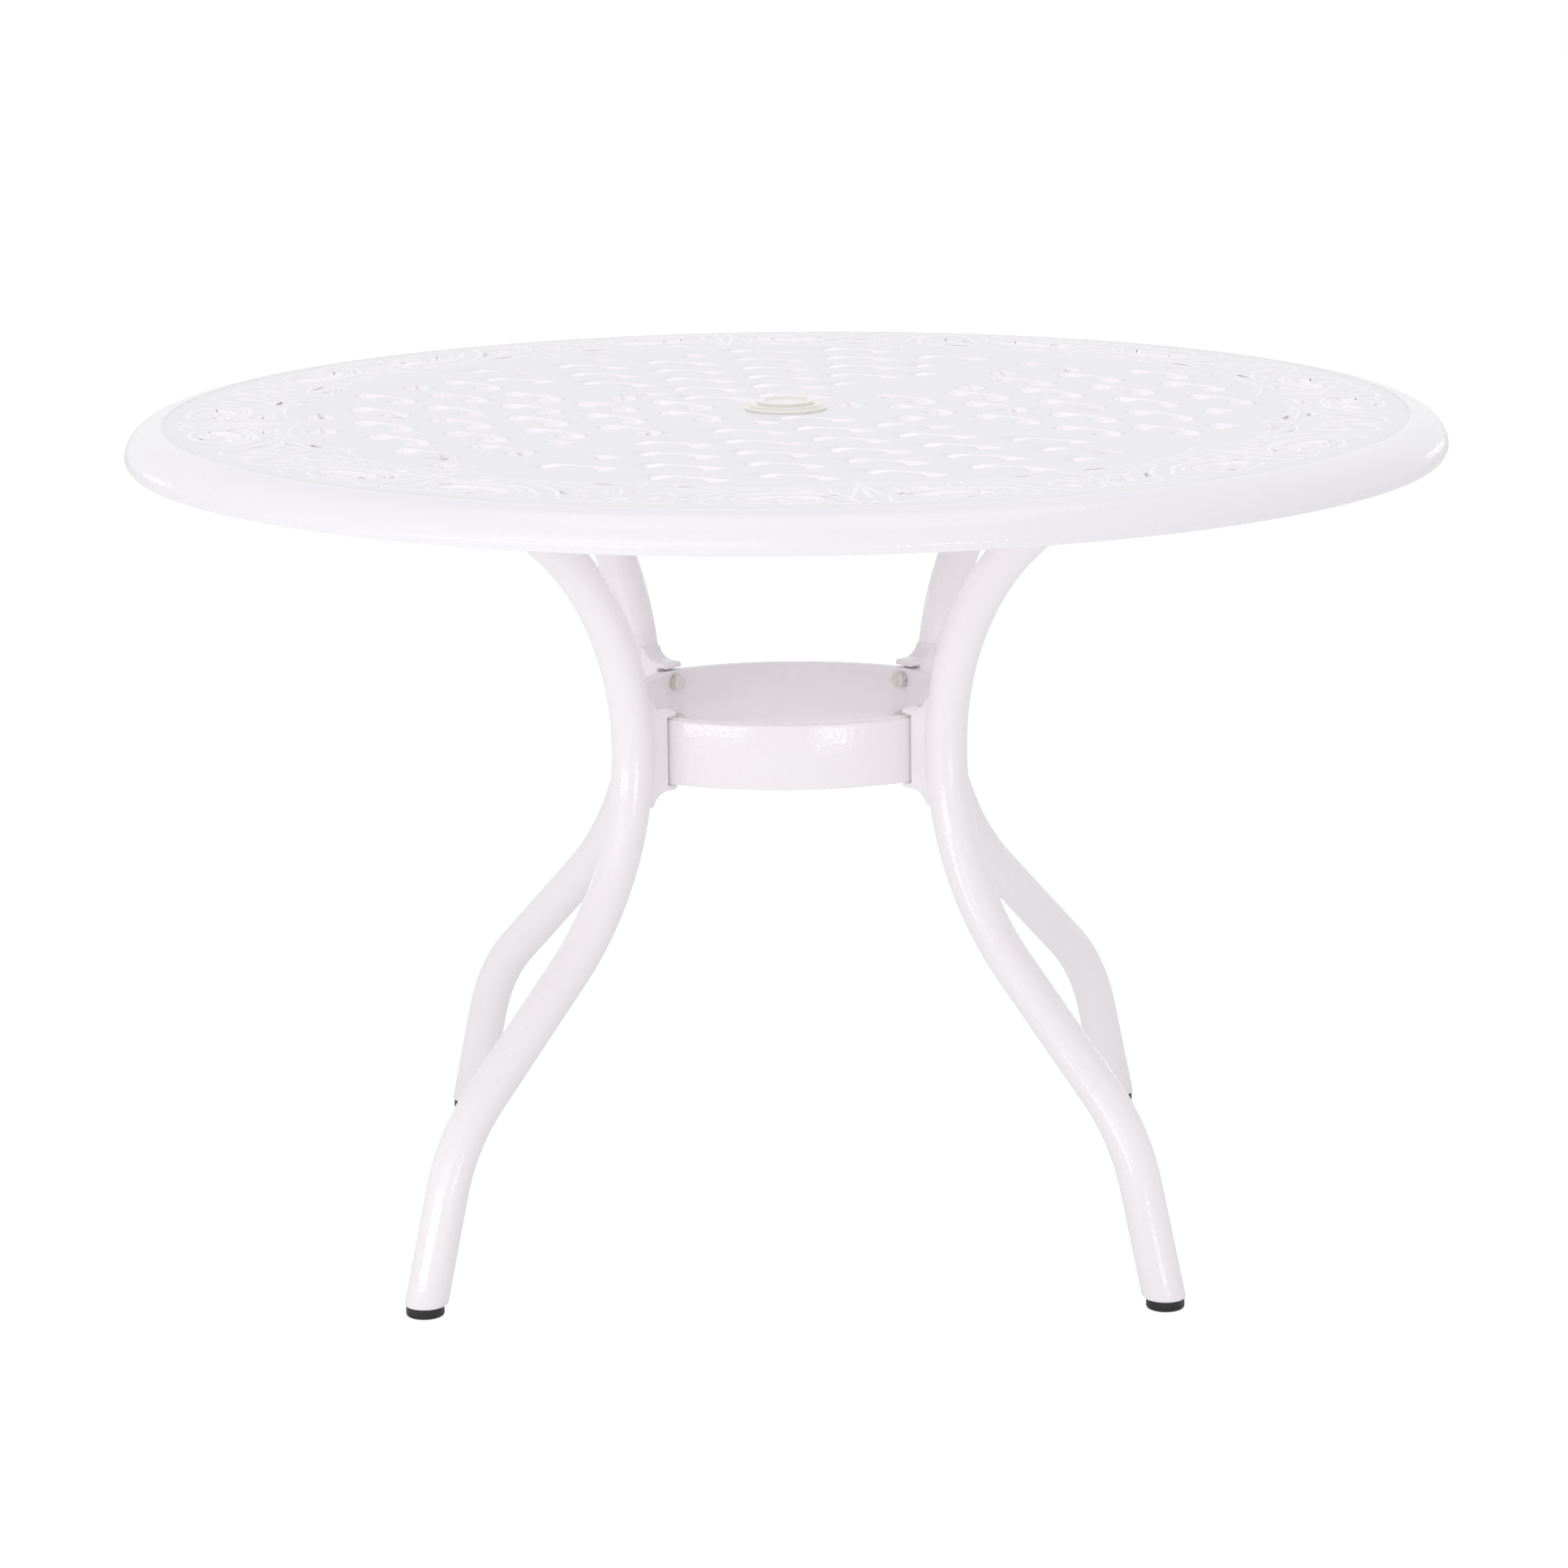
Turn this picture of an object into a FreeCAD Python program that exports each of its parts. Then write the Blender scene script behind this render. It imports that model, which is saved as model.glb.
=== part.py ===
import FreeCAD, Part
import math
import os

from FreeCAD import Vector

# Umbrella table: a round cast top with a pierced basket weave, four bent tube
# legs drawn together by a stretcher ring, and a plastic ring with a lift-out
# cap in the umbrella hole. All sizes are in millimetres, +Z is up, the floor is
# Z = 0 and the umbrella hole is on the Z axis.

# Overall sizes
TABLE_HEIGHT = 753.0
TOP_RADIUS = 600.0

# Rim of the top
RIM_DEPTH = 34.0
RIM_WALL = 5.0
RIM_TUCK = 2.0
SHOULDER_WIDTH = 35.0
SHOULDER_DROP = 28.0
LEDGE_WIDTH = 21.0
LEDGE_THICKNESS = 4.0
CREASE_RADIUS = TOP_RADIUS - SHOULDER_WIDTH
CREASE_GAP = 0.3

# Pierced panel
PANEL_THICKNESS = 4.0
PANEL_RADIUS = CREASE_RADIUS - CREASE_GAP
PANEL_UNDERSIDE = TABLE_HEIGHT - PANEL_THICKNESS
WEAVE_TURN = 9.0
BORDER_TURN = 7.5
WEAVE_INSET = 125.0
WEAVE_RADIUS = CREASE_RADIUS - WEAVE_INSET
WEAVE_CLEAR_OF_HUB = 43.0
# first row, row pitch and column shift of the right, rear, left and front quarters
WEAVE_QUARTERS = [
    (57.3, 69.9, -22.2),
    (27.6, 64.7, -47.3),
    (83.9, 69.5, -14.5),
    (62.4, 66.1, -50.2),
]
WEAVE_COLUMN_PITCH = 65.0
WEAVE_COLUMN_SPREAD = 0.066
WEAVE_ROW_SAG = 0.0006
WEAVE_SEAM = 2.0
BORDER_UNITS = 8

# Ribs, hub and leg bosses under the panel
RIB_THICKNESS = 5.0
RIB_DEPTH = 9.0
RIB_COUNT = 8
RIB_END_CLEARANCE = 4.0
RIB_OUTER_RADIUS = CREASE_RADIUS - LEDGE_WIDTH - RIB_END_CLEARANCE
HUB_RADIUS = 36.0
HUB_DEPTH = 34.0
HUB_BOTTOM = TABLE_HEIGHT - HUB_DEPTH
BOSS_RADIUS = 12.0
BOSS_FACE = PANEL_UNDERSIDE - RIB_DEPTH
BOSS_HOLE_TOP = PANEL_UNDERSIDE - 1.0

# Umbrella ring and cap
SLEEVE_RADIUS = 24.5
SLEEVE_CLEARANCE = 0.05
POLE_BORE_RADIUS = 20.5
CAP_POCKET_RADIUS = 22.5
CAP_POCKET_DEPTH = 12.0
CAP_PLUG_CLEARANCE = 0.1
CAP_PLUG_LENGTH = 16.0
CAP_PLUG_WALL = 2.0
RING_FLANGE_RADIUS = 37.5
RING_FLANGE_HEIGHT = 3.0
RING_STEP_RADIUS = 33.5
RING_STEP_HEIGHT = 2.5
CAP_RADIUS = 26.5
CAP_HEIGHT = 3.0
HUB_BORE_RADIUS = SLEEVE_RADIUS + SLEEVE_CLEARANCE

# Legs, as one bend line in the plane through the table's axis
LEG_ANGLES = {"front_left": 225.0, "front_right": 315.0, "rear_left": 135.0, "rear_right": 45.0}
TUBE_RADIUS = 19.0
TUBE_WALL = 5.0
FOOT_LEAN = 16.0
KNEE_RADIUS = 165.4
SHIN_LEAN = 47.2
SHIN_STRAIGHT = 139.6
WAIST_LOWER_RADIUS = 260.2
WAIST_UPPER_RADIUS = 255.3
TOP_LEAN = -51.4
WAIST_STANDOFF = 14.9
WAIST_RISE = 12.6

# Plate at each leg's upper end
PLATE_THICKNESS = 5.0
PLATE_TOP = BOSS_FACE
PLATE_BOTTOM = PLATE_TOP - PLATE_THICKNESS
PLATE_SIDE_BOLT = 33.0
PLATE_OUTER_BOLT = 50.0
PLATE_EDGE = 13.0
PLATE_INNER_REACH = 40.0
PLATE_INNER_HALF_WIDTH = 22.0
TOP_BOLT_CLEARANCE = 0.4

# Stretcher ring
RING_OUTER_RADIUS = 165.0
RING_THICKNESS = 12.0
RING_DROP = 328.0
RING_BOTTOM = TABLE_HEIGHT - RING_DROP
RING_HEIGHT = 59.0
RING_EDGE = 3.0
RING_INNER_RADIUS = RING_OUTER_RADIUS - RING_THICKNESS
RING_TOP = RING_BOTTOM + RING_HEIGHT
WAIST_REACH = RING_OUTER_RADIUS + WAIST_STANDOFF + TUBE_RADIUS
WAIST_LEVEL = RING_BOTTOM + RING_HEIGHT / 2.0 + WAIST_RISE

# Bracket between each leg and the stretcher ring
BRACKET_WIDTH = 23.0
BRACKET_LIP = 7.0
BRACKET_LIP_REACH = 11.0
BRACKET_GAP = 2.0
BRACKET_ROOT = 14.0
BRACKET_FILLET = 12.0
BOLT_SPREAD = 36.0
BOLT_LEVELS = [RING_BOTTOM + (RING_HEIGHT + side * BOLT_SPREAD) / 2.0 for side in (-1, 1)]

# Fasteners
BOLT_RADIUS = 4.0
BOLT_HEAD_ACROSS = 13.0
BOLT_HEAD_HEIGHT = 5.3
BOLT_LENGTH = 28.0
TAPPED_CLEARANCE = 0.05
RING_BOLT_CLEARANCE = 0.4
WASHER_RADIUS = 8.0
WASHER_THICKNESS = 1.6
WASHER_CLEARANCE = 0.3
LOCK_WASHER_RADIUS = 6.8
LOCK_WASHER_THICKNESS = 2.0
LOCK_WASHER_GAP = 2.0
RING_BOLT_SEAT = math.sqrt(RING_INNER_RADIUS ** 2 - WASHER_RADIUS ** 2)

# Foot glides
GLIDE_HEIGHT = 9.0
GLIDE_RADIUS = 17.0
GLIDE_PLUG_LENGTH = 26.0
GLIDE_CLEARANCE = 0.05
GLIDE_EDGE = 2.5

AXIS = Vector(0, 0, 1)
ORIGIN = Vector(0, 0, 0)


# Small helpers
def polar(radius, degrees, height=0.0):
    turn = math.radians(degrees)
    return Vector(radius * math.cos(turn), radius * math.sin(turn), height)


def turned(shape, degrees):
    copy = shape.copy()
    copy.rotate(ORIGIN, AXIS, degrees)
    return copy


def disc(radius, bottom, top):
    return Part.makeCylinder(radius, top - bottom, Vector(0, 0, bottom))


def revolve(points):
    wire = Part.makePolygon([Vector(r, 0, z) for r, z in points] + [Vector(points[0][0], 0, points[0][1])])
    return Part.Face(wire).revolve(ORIGIN, AXIS, 360)


def radial_cylinder(radius, angle, height, inner, outer, side=0.0):
    direction = polar(1.0, angle)
    across = polar(1.0, angle + 90.0)
    start = direction * inner + across * side + Vector(0, 0, height)
    return Part.makeCylinder(radius, outer - inner, start, direction)


def cleaned(shape):
    shape = shape.removeSplitter()
    if shape.ShapeType == "Compound" and len(shape.Solids) == 1:
        shape = shape.Solids[0]
    return shape


def save(name, shape):
    if not shape.isValid():
        raise RuntimeError(name + " is not a valid shape")
    shape.exportStep("parts/" + name + ".step")


# Rim of the top
def make_table_rim():
    top = TABLE_HEIGHT
    bottom = top - RIM_DEPTH
    ledge = PANEL_UNDERSIDE
    outer_start = Vector(CREASE_RADIUS, 0, top)
    outer_middle = Vector(CREASE_RADIUS + SHOULDER_WIDTH * 0.707, 0, top - SHOULDER_DROP * 0.293)
    outer_end = Vector(TOP_RADIUS, 0, top - SHOULDER_DROP)
    lip = Vector(TOP_RADIUS - RIM_TUCK, 0, bottom)
    lip_inner = Vector(TOP_RADIUS - RIM_TUCK - RIM_WALL, 0, bottom)
    wall_inner = Vector(TOP_RADIUS - RIM_WALL, 0, top - SHOULDER_DROP)
    inner_start = Vector(CREASE_RADIUS + SHOULDER_WIDTH / 4.0, 0, ledge - LEDGE_THICKNESS)
    ledge_bottom = Vector(CREASE_RADIUS - LEDGE_WIDTH, 0, ledge - LEDGE_THICKNESS)
    ledge_top = Vector(CREASE_RADIUS - LEDGE_WIDTH, 0, ledge)
    rebate = Vector(CREASE_RADIUS, 0, ledge)
    edges = [
        Part.Arc(outer_start, outer_middle, outer_end).toShape(),
        Part.makeLine(outer_end, lip),
        Part.makeLine(lip, lip_inner),
        Part.makeLine(lip_inner, wall_inner),
        Part.makeLine(wall_inner, inner_start),
        Part.makeLine(inner_start, ledge_bottom),
        Part.makeLine(ledge_bottom, ledge_top),
        Part.makeLine(ledge_top, rebate),
        Part.makeLine(rebate, outer_start),
    ]
    return Part.Face(Part.Wire(edges)).revolve(ORIGIN, AXIS, 360)


# One woven gap: a slanted slot, wide at both ends, about its own middle. The
# slots of the front and rear quarters lie as drawn, those of the left and right
# quarters are mirrored about the diagonal.
WEAVE_GAP = [
    (-31.0, 20.0), (3.0, 3.5), (33.0, -22.0), (15.0, -31.5),
    (13.0, -12.0), (0.0, -2.5), (-15.0, 7.0), (-30.0, -6.0),
]
WEAVE_HALF_GAPS = [
    [(-31.0, 20.0), (-2.0, 6.0), (-15.0, 7.0), (-30.0, -6.0)],
    [(3.0, 3.5), (33.0, -22.0), (15.0, -31.5), (13.0, -12.0)],
]


def weave_centres(quarter):
    # columns spread and rows sag towards the corners of each quarter
    first_row, row_pitch, column_shift = WEAVE_QUARTERS[quarter]
    rows = int((WEAVE_RADIUS - first_row) / row_pitch) + 2
    centres = []
    for row in range(rows):
        out = first_row + row * row_pitch
        pitch = WEAVE_COLUMN_PITCH + WEAVE_COLUMN_SPREAD * out
        count = int(out / pitch) + 2
        for column in range(-count, count + 1):
            side = column * pitch + column_shift
            centres.append((out - WEAVE_ROW_SAG * side * side, side))
    return centres


def placed_gap(outline, out, side, quarter):
    # out runs along the quarter's own middle line
    x, y = [(out, side), (side, out), (-out, side), (side, -out)][quarter]
    if quarter % 2:
        return [(x + across, y + along) for across, along in outline]
    return [(x + along, y + across) for across, along in outline]


def inside_weave(points, quarter):
    for x, y in points:
        distance = math.hypot(x, y)
        if distance > WEAVE_RADIUS or distance < WEAVE_CLEAR_OF_HUB:
            return False
        out, across = [(x, y), (y, x), (-x, y), (-y, x)][quarter]
        if abs(across) > out - WEAVE_SEAM:
            return False
    return True


def weave_outlines():
    outlines = []
    for quarter in range(4):
        for out, side in weave_centres(quarter):
            points = placed_gap(WEAVE_GAP, out, side, quarter)
            if inside_weave(points, quarter):
                outlines.append(points)
                continue
            for half in WEAVE_HALF_GAPS:
                points = placed_gap(half, out, side, quarter)
                if inside_weave(points, quarter):
                    outlines.append(points)
    return outlines


def weave_wires():
    wires = []
    for points in weave_outlines():
        corners = [Vector(x, y, 0) for x, y in points]
        corners.append(corners[0])
        wires.append(turned(Part.makePolygon(corners), WEAVE_TURN))
    return wires


# The border is eight units of cast scrolls. Each has a pair of volutes, whose pierced
# crescent runs round a solid eye, with slits and leaf gaps beside them.
VOLUTE_ANGLE = 7.7
VOLUTE_INSET = 45.0
VOLUTE_RADIUS = CREASE_RADIUS - VOLUTE_INSET
CRESCENT_HALF_LENGTH = 34.0
CRESCENT_HALF_WIDTH = 20.0
EYE_HALF_LENGTH = 17.0
EYE_HALF_WIDTH = 10.0
EYE_SHIFT = 3.0
CRESCENT_START = 165.0
CRESCENT_END = 375.0
CRESCENT_STEPS = 6

# Gaps of one border unit: angle from the unit's middle, inset from the crease, length,
# width and lean, each kept clear of its neighbours
BORDER_AXIS_GAPS = [
    (22.5, 71.0, 32.0, 10.0, 0.0),
]
BORDER_SIDE_GAPS = [
    (13.2, 58.0, 24.0, 6.0, 42.0),
    (16.4, 58.0, 28.0, 5.0, 38.0),
    (19.3, 48.0, 34.0, 15.0, 8.0),
    (3.5, 60.0, 11.0, 16.0, -12.0),
    (5.7, 89.0, 16.0, 28.0, 0.0),
    (2.9, 32.0, 12.0, 8.0, 14.0),
    (8.8, 28.0, 6.0, 14.0, 0.0),
    (16.4, 89.0, 9.0, 30.0, -6.0),
    (18.2, 110.0, 12.0, 30.0, -4.0),
]


def gap_wire(angle, inset, length, width, lean):
    radius = CREASE_RADIUS - inset
    half = length / 2.0
    waist = width / 2.0
    corners = [(half, 0.0), (0.0, waist), (-half, 0.0), (0.0, -waist)]
    turn = math.radians(lean)
    points = []
    for out, across in corners:
        points.append(Vector(
            radius + out * math.cos(turn) - across * math.sin(turn),
            out * math.sin(turn) + across * math.cos(turn),
            0,
        ))
    points.append(points[0])
    return turned(Part.makePolygon(points), angle)


def crescent_wire(angle, side):
    # side is 1 or -1, for the two volutes that face each other in a unit
    outer = []
    inner = []
    for step in range(CRESCENT_STEPS + 1):
        share = step / CRESCENT_STEPS
        turn = math.radians(CRESCENT_START + (CRESCENT_END - CRESCENT_START) * share)
        outer.append((
            CRESCENT_HALF_LENGTH * math.cos(turn),
            CRESCENT_HALF_WIDTH * math.sin(turn),
        ))
        inner.append((
            EYE_SHIFT + EYE_HALF_LENGTH * math.cos(turn),
            EYE_SHIFT + EYE_HALF_WIDTH * math.sin(turn),
        ))
    points = []
    for along, out in outer + inner[-2:0:-1]:
        points.append(Vector(VOLUTE_RADIUS + out, side * along, 0))
    points.append(points[0])
    return turned(Part.makePolygon(points), angle + side * VOLUTE_ANGLE)


def border_wires():
    wires = []
    step = 360.0 / BORDER_UNITS
    for unit in range(BORDER_UNITS):
        base = BORDER_TURN + step * unit
        wires.append(crescent_wire(base, 1))
        wires.append(crescent_wire(base, -1))
        for angle, *size in BORDER_AXIS_GAPS:
            wires.append(gap_wire(base + angle, *size))
        for angle, inset, length, width, lean in BORDER_SIDE_GAPS:
            wires.append(gap_wire(base + angle, inset, length, width, lean))
            wires.append(gap_wire(base - angle, inset, length, width, -lean))
    return wires


def bolt_spots(angle):
    # the three bolts of one leg plate, as points on the plan
    radius = plate_centre_radius()
    middle = polar(radius, angle)
    out = polar(1.0, angle)
    across = polar(1.0, angle + 90.0)
    return [
        middle + across * PLATE_SIDE_BOLT,
        middle - across * PLATE_SIDE_BOLT,
        middle + out * PLATE_OUTER_BOLT,
    ]


def make_panel_hub():
    return disc(HUB_RADIUS, HUB_BOTTOM, PANEL_UNDERSIDE).cut(disc(HUB_BORE_RADIUS, 0, TABLE_HEIGHT))


def make_ribs_and_bosses():
    pieces = []
    for number in range(RIB_COUNT):
        rib = Part.makeBox(
            RIB_OUTER_RADIUS - HUB_RADIUS, RIB_THICKNESS, RIB_DEPTH,
            Vector(HUB_RADIUS, -RIB_THICKNESS / 2.0, BOSS_FACE),
        )
        pieces.append(turned(rib, 45.0 * number))
    for angle in LEG_ANGLES.values():
        for spot in bolt_spots(angle):
            pieces.append(Part.makeCylinder(BOSS_RADIUS, RIB_DEPTH, Vector(spot.x, spot.y, BOSS_FACE)))
    return pieces[0].fuse(pieces[1:])


def make_table_panel():
    outline = Part.Wire(Part.makeCircle(PANEL_RADIUS))
    hole = Part.Wire(Part.makeCircle(HUB_BORE_RADIUS))
    face = Part.makeFace([outline, hole] + weave_wires() + border_wires(), "Part::FaceMakerBullseye")
    face.translate(Vector(0, 0, PANEL_UNDERSIDE))
    plate = face.extrude(Vector(0, 0, PANEL_THICKNESS))
    tapped = []
    for angle in LEG_ANGLES.values():
        for spot in bolt_spots(angle):
            start = Vector(spot.x, spot.y, BOSS_FACE)
            tapped.append(Part.makeCylinder(BOLT_RADIUS + TAPPED_CLEARANCE, BOSS_HOLE_TOP - BOSS_FACE, start))
    under = make_ribs_and_bosses().cut(tapped)
    return cleaned(plate.fuse(under))


def make_umbrella_ring():
    top = TABLE_HEIGHT
    step_top = top + RING_FLANGE_HEIGHT + RING_STEP_HEIGHT
    pocket = step_top - CAP_POCKET_DEPTH
    bottom = top - HUB_DEPTH
    profile = [
        (POLE_BORE_RADIUS, bottom),
        (SLEEVE_RADIUS, bottom),
        (SLEEVE_RADIUS, top),
        (RING_FLANGE_RADIUS, top),
        (RING_FLANGE_RADIUS, top + 1.0),
        (RING_FLANGE_RADIUS - 2.0, top + RING_FLANGE_HEIGHT),
        (RING_STEP_RADIUS, top + RING_FLANGE_HEIGHT),
        (RING_STEP_RADIUS - 1.0, step_top),
        (CAP_POCKET_RADIUS, step_top),
        (CAP_POCKET_RADIUS, pocket),
        (POLE_BORE_RADIUS, pocket),
    ]
    return revolve(profile)


# Cap: a shallow cup that plugs the pocket and lifts straight out
def make_hole_cap():
    seat = TABLE_HEIGHT + RING_FLANGE_HEIGHT + RING_STEP_HEIGHT
    plug = CAP_POCKET_RADIUS - CAP_PLUG_CLEARANCE
    plug_bottom = seat - CAP_POCKET_DEPTH + 0.5
    profile = [
        (0.0, seat + CAP_HEIGHT - 1.5),
        (CAP_RADIUS - 7.0, seat + CAP_HEIGHT - 1.5),
        (CAP_RADIUS - 6.0, seat + CAP_HEIGHT),
        (CAP_RADIUS - 1.5, seat + CAP_HEIGHT),
        (CAP_RADIUS, seat + CAP_HEIGHT - 1.5),
        (CAP_RADIUS, seat),
        (plug, seat),
        (plug, plug_bottom),
        (plug - CAP_PLUG_WALL, plug_bottom),
        (plug - CAP_PLUG_WALL, seat - 0.5),
        (0.0, seat - 0.5),
    ]
    return revolve(profile)


# Bend line of one leg, in the XZ plane, from the floor up
def advance_straight(state, length):
    x, z, lean = state
    turn = math.radians(lean)
    return (x - math.sin(turn) * length, z + math.cos(turn) * length, lean)


def advance_bend(state, radius, lean_to):
    x, z, lean = state
    sign = 1.0 if lean_to > lean else -1.0
    start = math.radians(lean)
    end = math.radians(lean_to)
    x = x + sign * radius * (math.cos(end) - math.cos(start))
    z = z + sign * radius * (math.sin(end) - math.sin(start))
    return (x, z, lean_to)


def leg_bends(foot_straight):
    # from a foot at zero reach up to the waist, where the tube runs upright
    states = [(0.0, 0.0, FOOT_LEAN)]
    states.append(advance_straight(states[-1], foot_straight))
    states.append(advance_bend(states[-1], KNEE_RADIUS, SHIN_LEAN))
    states.append(advance_straight(states[-1], SHIN_STRAIGHT))
    states.append(advance_bend(states[-1], WAIST_LOWER_RADIUS, 0.0))
    return states


def foot_straight():
    # the foot is as long as it takes to bring the waist level with the ring
    bare = leg_bends(0.0)[-1]
    return (WAIST_LEVEL - bare[1]) / math.cos(math.radians(FOOT_LEAN))


def foot_reach():
    return WAIST_REACH - leg_bends(foot_straight())[-1][0]


def leg_stations():
    reach = foot_reach()
    states = [(x + reach, z, lean) for x, z, lean in leg_bends(foot_straight())]
    states[0] = advance_straight(states[0], -TUBE_RADIUS)
    states.append(advance_bend(states[-1], WAIST_UPPER_RADIUS, TOP_LEAN))
    rest = (PLATE_BOTTOM - states[-1][1]) / math.cos(math.radians(TOP_LEAN))
    states.append(advance_straight(states[-1], rest + 2.0 * TUBE_RADIUS))
    return states


def bend_piece(section, first, last, radius):
    turn = math.radians(first[2])
    sign = 1.0 if last[2] > first[2] else -1.0
    centre = Vector(first[0] - sign * radius * math.cos(turn), 0, first[1] - sign * radius * math.sin(turn))
    return section.revolve(centre, Vector(0, -sign, 0), abs(last[2] - first[2]))


def straight_piece(section, first, last):
    return section.extrude(Vector(last[0] - first[0], 0, last[1] - first[1]))


def plate_centre_radius():
    # where the tube's axis meets the underside of its plate
    x, z, lean = leg_stations()[5]
    return x + (PLATE_BOTTOM - z) * math.tan(math.radians(-lean))


def bent_bar(radius, bore=0.0):
    # a round bar, or a tube when it has a bore, along the leg's bend line
    stations = leg_stations()
    bends = {1: KNEE_RADIUS, 3: WAIST_LOWER_RADIUS, 4: WAIST_UPPER_RADIUS}
    pieces = []
    for number, (first, last) in enumerate(zip(stations[:-1], stations[1:])):
        turn = math.radians(first[2])
        place = Vector(first[0], 0, first[1])
        direction = Vector(-math.sin(turn), 0, math.cos(turn))
        wires = [Part.Wire(Part.makeCircle(radius, place, direction))]
        if bore:
            wires.append(Part.Wire(Part.makeCircle(bore, place, direction)))
        section = Part.makeFace(wires, "Part::FaceMakerBullseye")
        if number in bends:
            pieces.append(bend_piece(section, first, last, bends[number]))
        else:
            pieces.append(straight_piece(section, first, last))
    return pieces[0].fuse(pieces[1:])


def make_leg_tube():
    tube = bent_bar(TUBE_RADIUS, TUBE_RADIUS - TUBE_WALL)
    reach = TOP_RADIUS * 2.0
    window = Part.makeBox(reach, reach, PLATE_BOTTOM - GLIDE_HEIGHT, Vector(0, -reach / 2.0, GLIDE_HEIGHT))
    return cleaned(tube.common(window))


def make_top_plate():
    radius = plate_centre_radius()
    side = PLATE_SIDE_BOLT + PLATE_EDGE
    outer = PLATE_OUTER_BOLT + PLATE_EDGE
    corners = [
        (-PLATE_INNER_REACH, -PLATE_INNER_HALF_WIDTH), (-PLATE_EDGE, -side), (PLATE_EDGE, -side),
        (outer, -PLATE_EDGE), (outer, PLATE_EDGE), (PLATE_EDGE, side), (-PLATE_EDGE, side),
        (-PLATE_INNER_REACH, PLATE_INNER_HALF_WIDTH),
    ]
    points = [Vector(radius + x, y, PLATE_BOTTOM) for x, y in corners]
    points.append(points[0])
    plate = Part.Face(Part.makePolygon(points)).extrude(Vector(0, 0, PLATE_THICKNESS))
    holes = []
    for spot in bolt_spots(0.0):
        start = Vector(spot.x, spot.y, PLATE_BOTTOM)
        holes.append(Part.makeCylinder(BOLT_RADIUS + TOP_BOLT_CLEARANCE, PLATE_THICKNESS, start))
    return plate.cut(holes)


# Stretcher ring: a flat band with softened edges and a hole for every bolt
def make_stretcher_ring():
    outer = RING_OUTER_RADIUS
    inner = RING_INNER_RADIUS
    edge = RING_EDGE
    profile = [
        (inner + 1.0, RING_BOTTOM), (outer - 1.0, RING_BOTTOM), (outer, RING_BOTTOM + 1.0),
        (outer, RING_TOP - edge), (outer - edge * 0.3, RING_TOP - edge * 0.3), (outer - edge, RING_TOP),
        (inner + 1.0, RING_TOP), (inner, RING_TOP - 1.0), (inner, RING_BOTTOM + 1.0),
    ]
    ring = revolve(profile)
    holes = []
    for angle in LEG_ANGLES.values():
        for level in BOLT_LEVELS:
            radius = BOLT_RADIUS + RING_BOLT_CLEARANCE
            holes.append(radial_cylinder(radius, angle, level, inner - 5.0, outer + 5.0))
    return ring.cut(holes)


# Bracket: a web from the tube to the ring, with a lip under and over the ring
def bracket_profile(tube_face):
    lower_top = RING_BOTTOM
    lower_bottom = lower_top - BRACKET_LIP
    upper_bottom = RING_TOP + BRACKET_GAP
    upper_top = upper_bottom + BRACKET_LIP
    nose = RING_OUTER_RADIUS - BRACKET_LIP_REACH
    back = tube_face + TUBE_RADIUS
    root = tube_face - 2.0
    heel = root - BRACKET_FILLET
    points = [
        (nose + 2.0, lower_bottom), (nose, lower_bottom + 2.5), (nose + 1.0, lower_top),
        (RING_OUTER_RADIUS, lower_top), (RING_OUTER_RADIUS, upper_bottom), (nose + 1.0, upper_bottom),
        (nose, upper_top - 2.5), (nose + 2.0, upper_top), (heel, upper_top),
        (heel + BRACKET_FILLET * 0.62, upper_top + BRACKET_ROOT * 0.26), (root, upper_top + BRACKET_ROOT),
        (back, upper_top + BRACKET_ROOT), (back, lower_bottom - BRACKET_ROOT),
        (root, lower_bottom - BRACKET_ROOT), (heel + BRACKET_FILLET * 0.62, lower_bottom - BRACKET_ROOT * 0.26),
        (heel, lower_bottom),
    ]
    return points


def make_ring_bracket():
    waist = leg_stations()[4][0]
    half = BRACKET_WIDTH / 2.0
    points = [Vector(r, -half, z) for r, z in bracket_profile(waist - TUBE_RADIUS)]
    points.append(points[0])
    bracket = Part.Face(Part.makePolygon(points)).extrude(Vector(0, BRACKET_WIDTH, 0))
    bracket = bracket.cut(bent_bar(TUBE_RADIUS))
    bracket = max(bracket.Solids, key=lambda solid: -solid.CenterOfMass.x)
    bracket = bracket.cut(disc(RING_OUTER_RADIUS, RING_BOTTOM, RING_TOP + BRACKET_GAP))
    bracket = max(bracket.Solids, key=lambda solid: solid.Volume)
    depth = RING_BOLT_SEAT - WASHER_THICKNESS - LOCK_WASHER_THICKNESS + BOLT_LENGTH + 1.0
    for level in BOLT_LEVELS:
        hole = radial_cylinder(BOLT_RADIUS + TAPPED_CLEARANCE, 0.0, level, RING_INNER_RADIUS - 5.0, depth)
        bracket = bracket.cut(hole)
    return cleaned(bracket)


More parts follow.
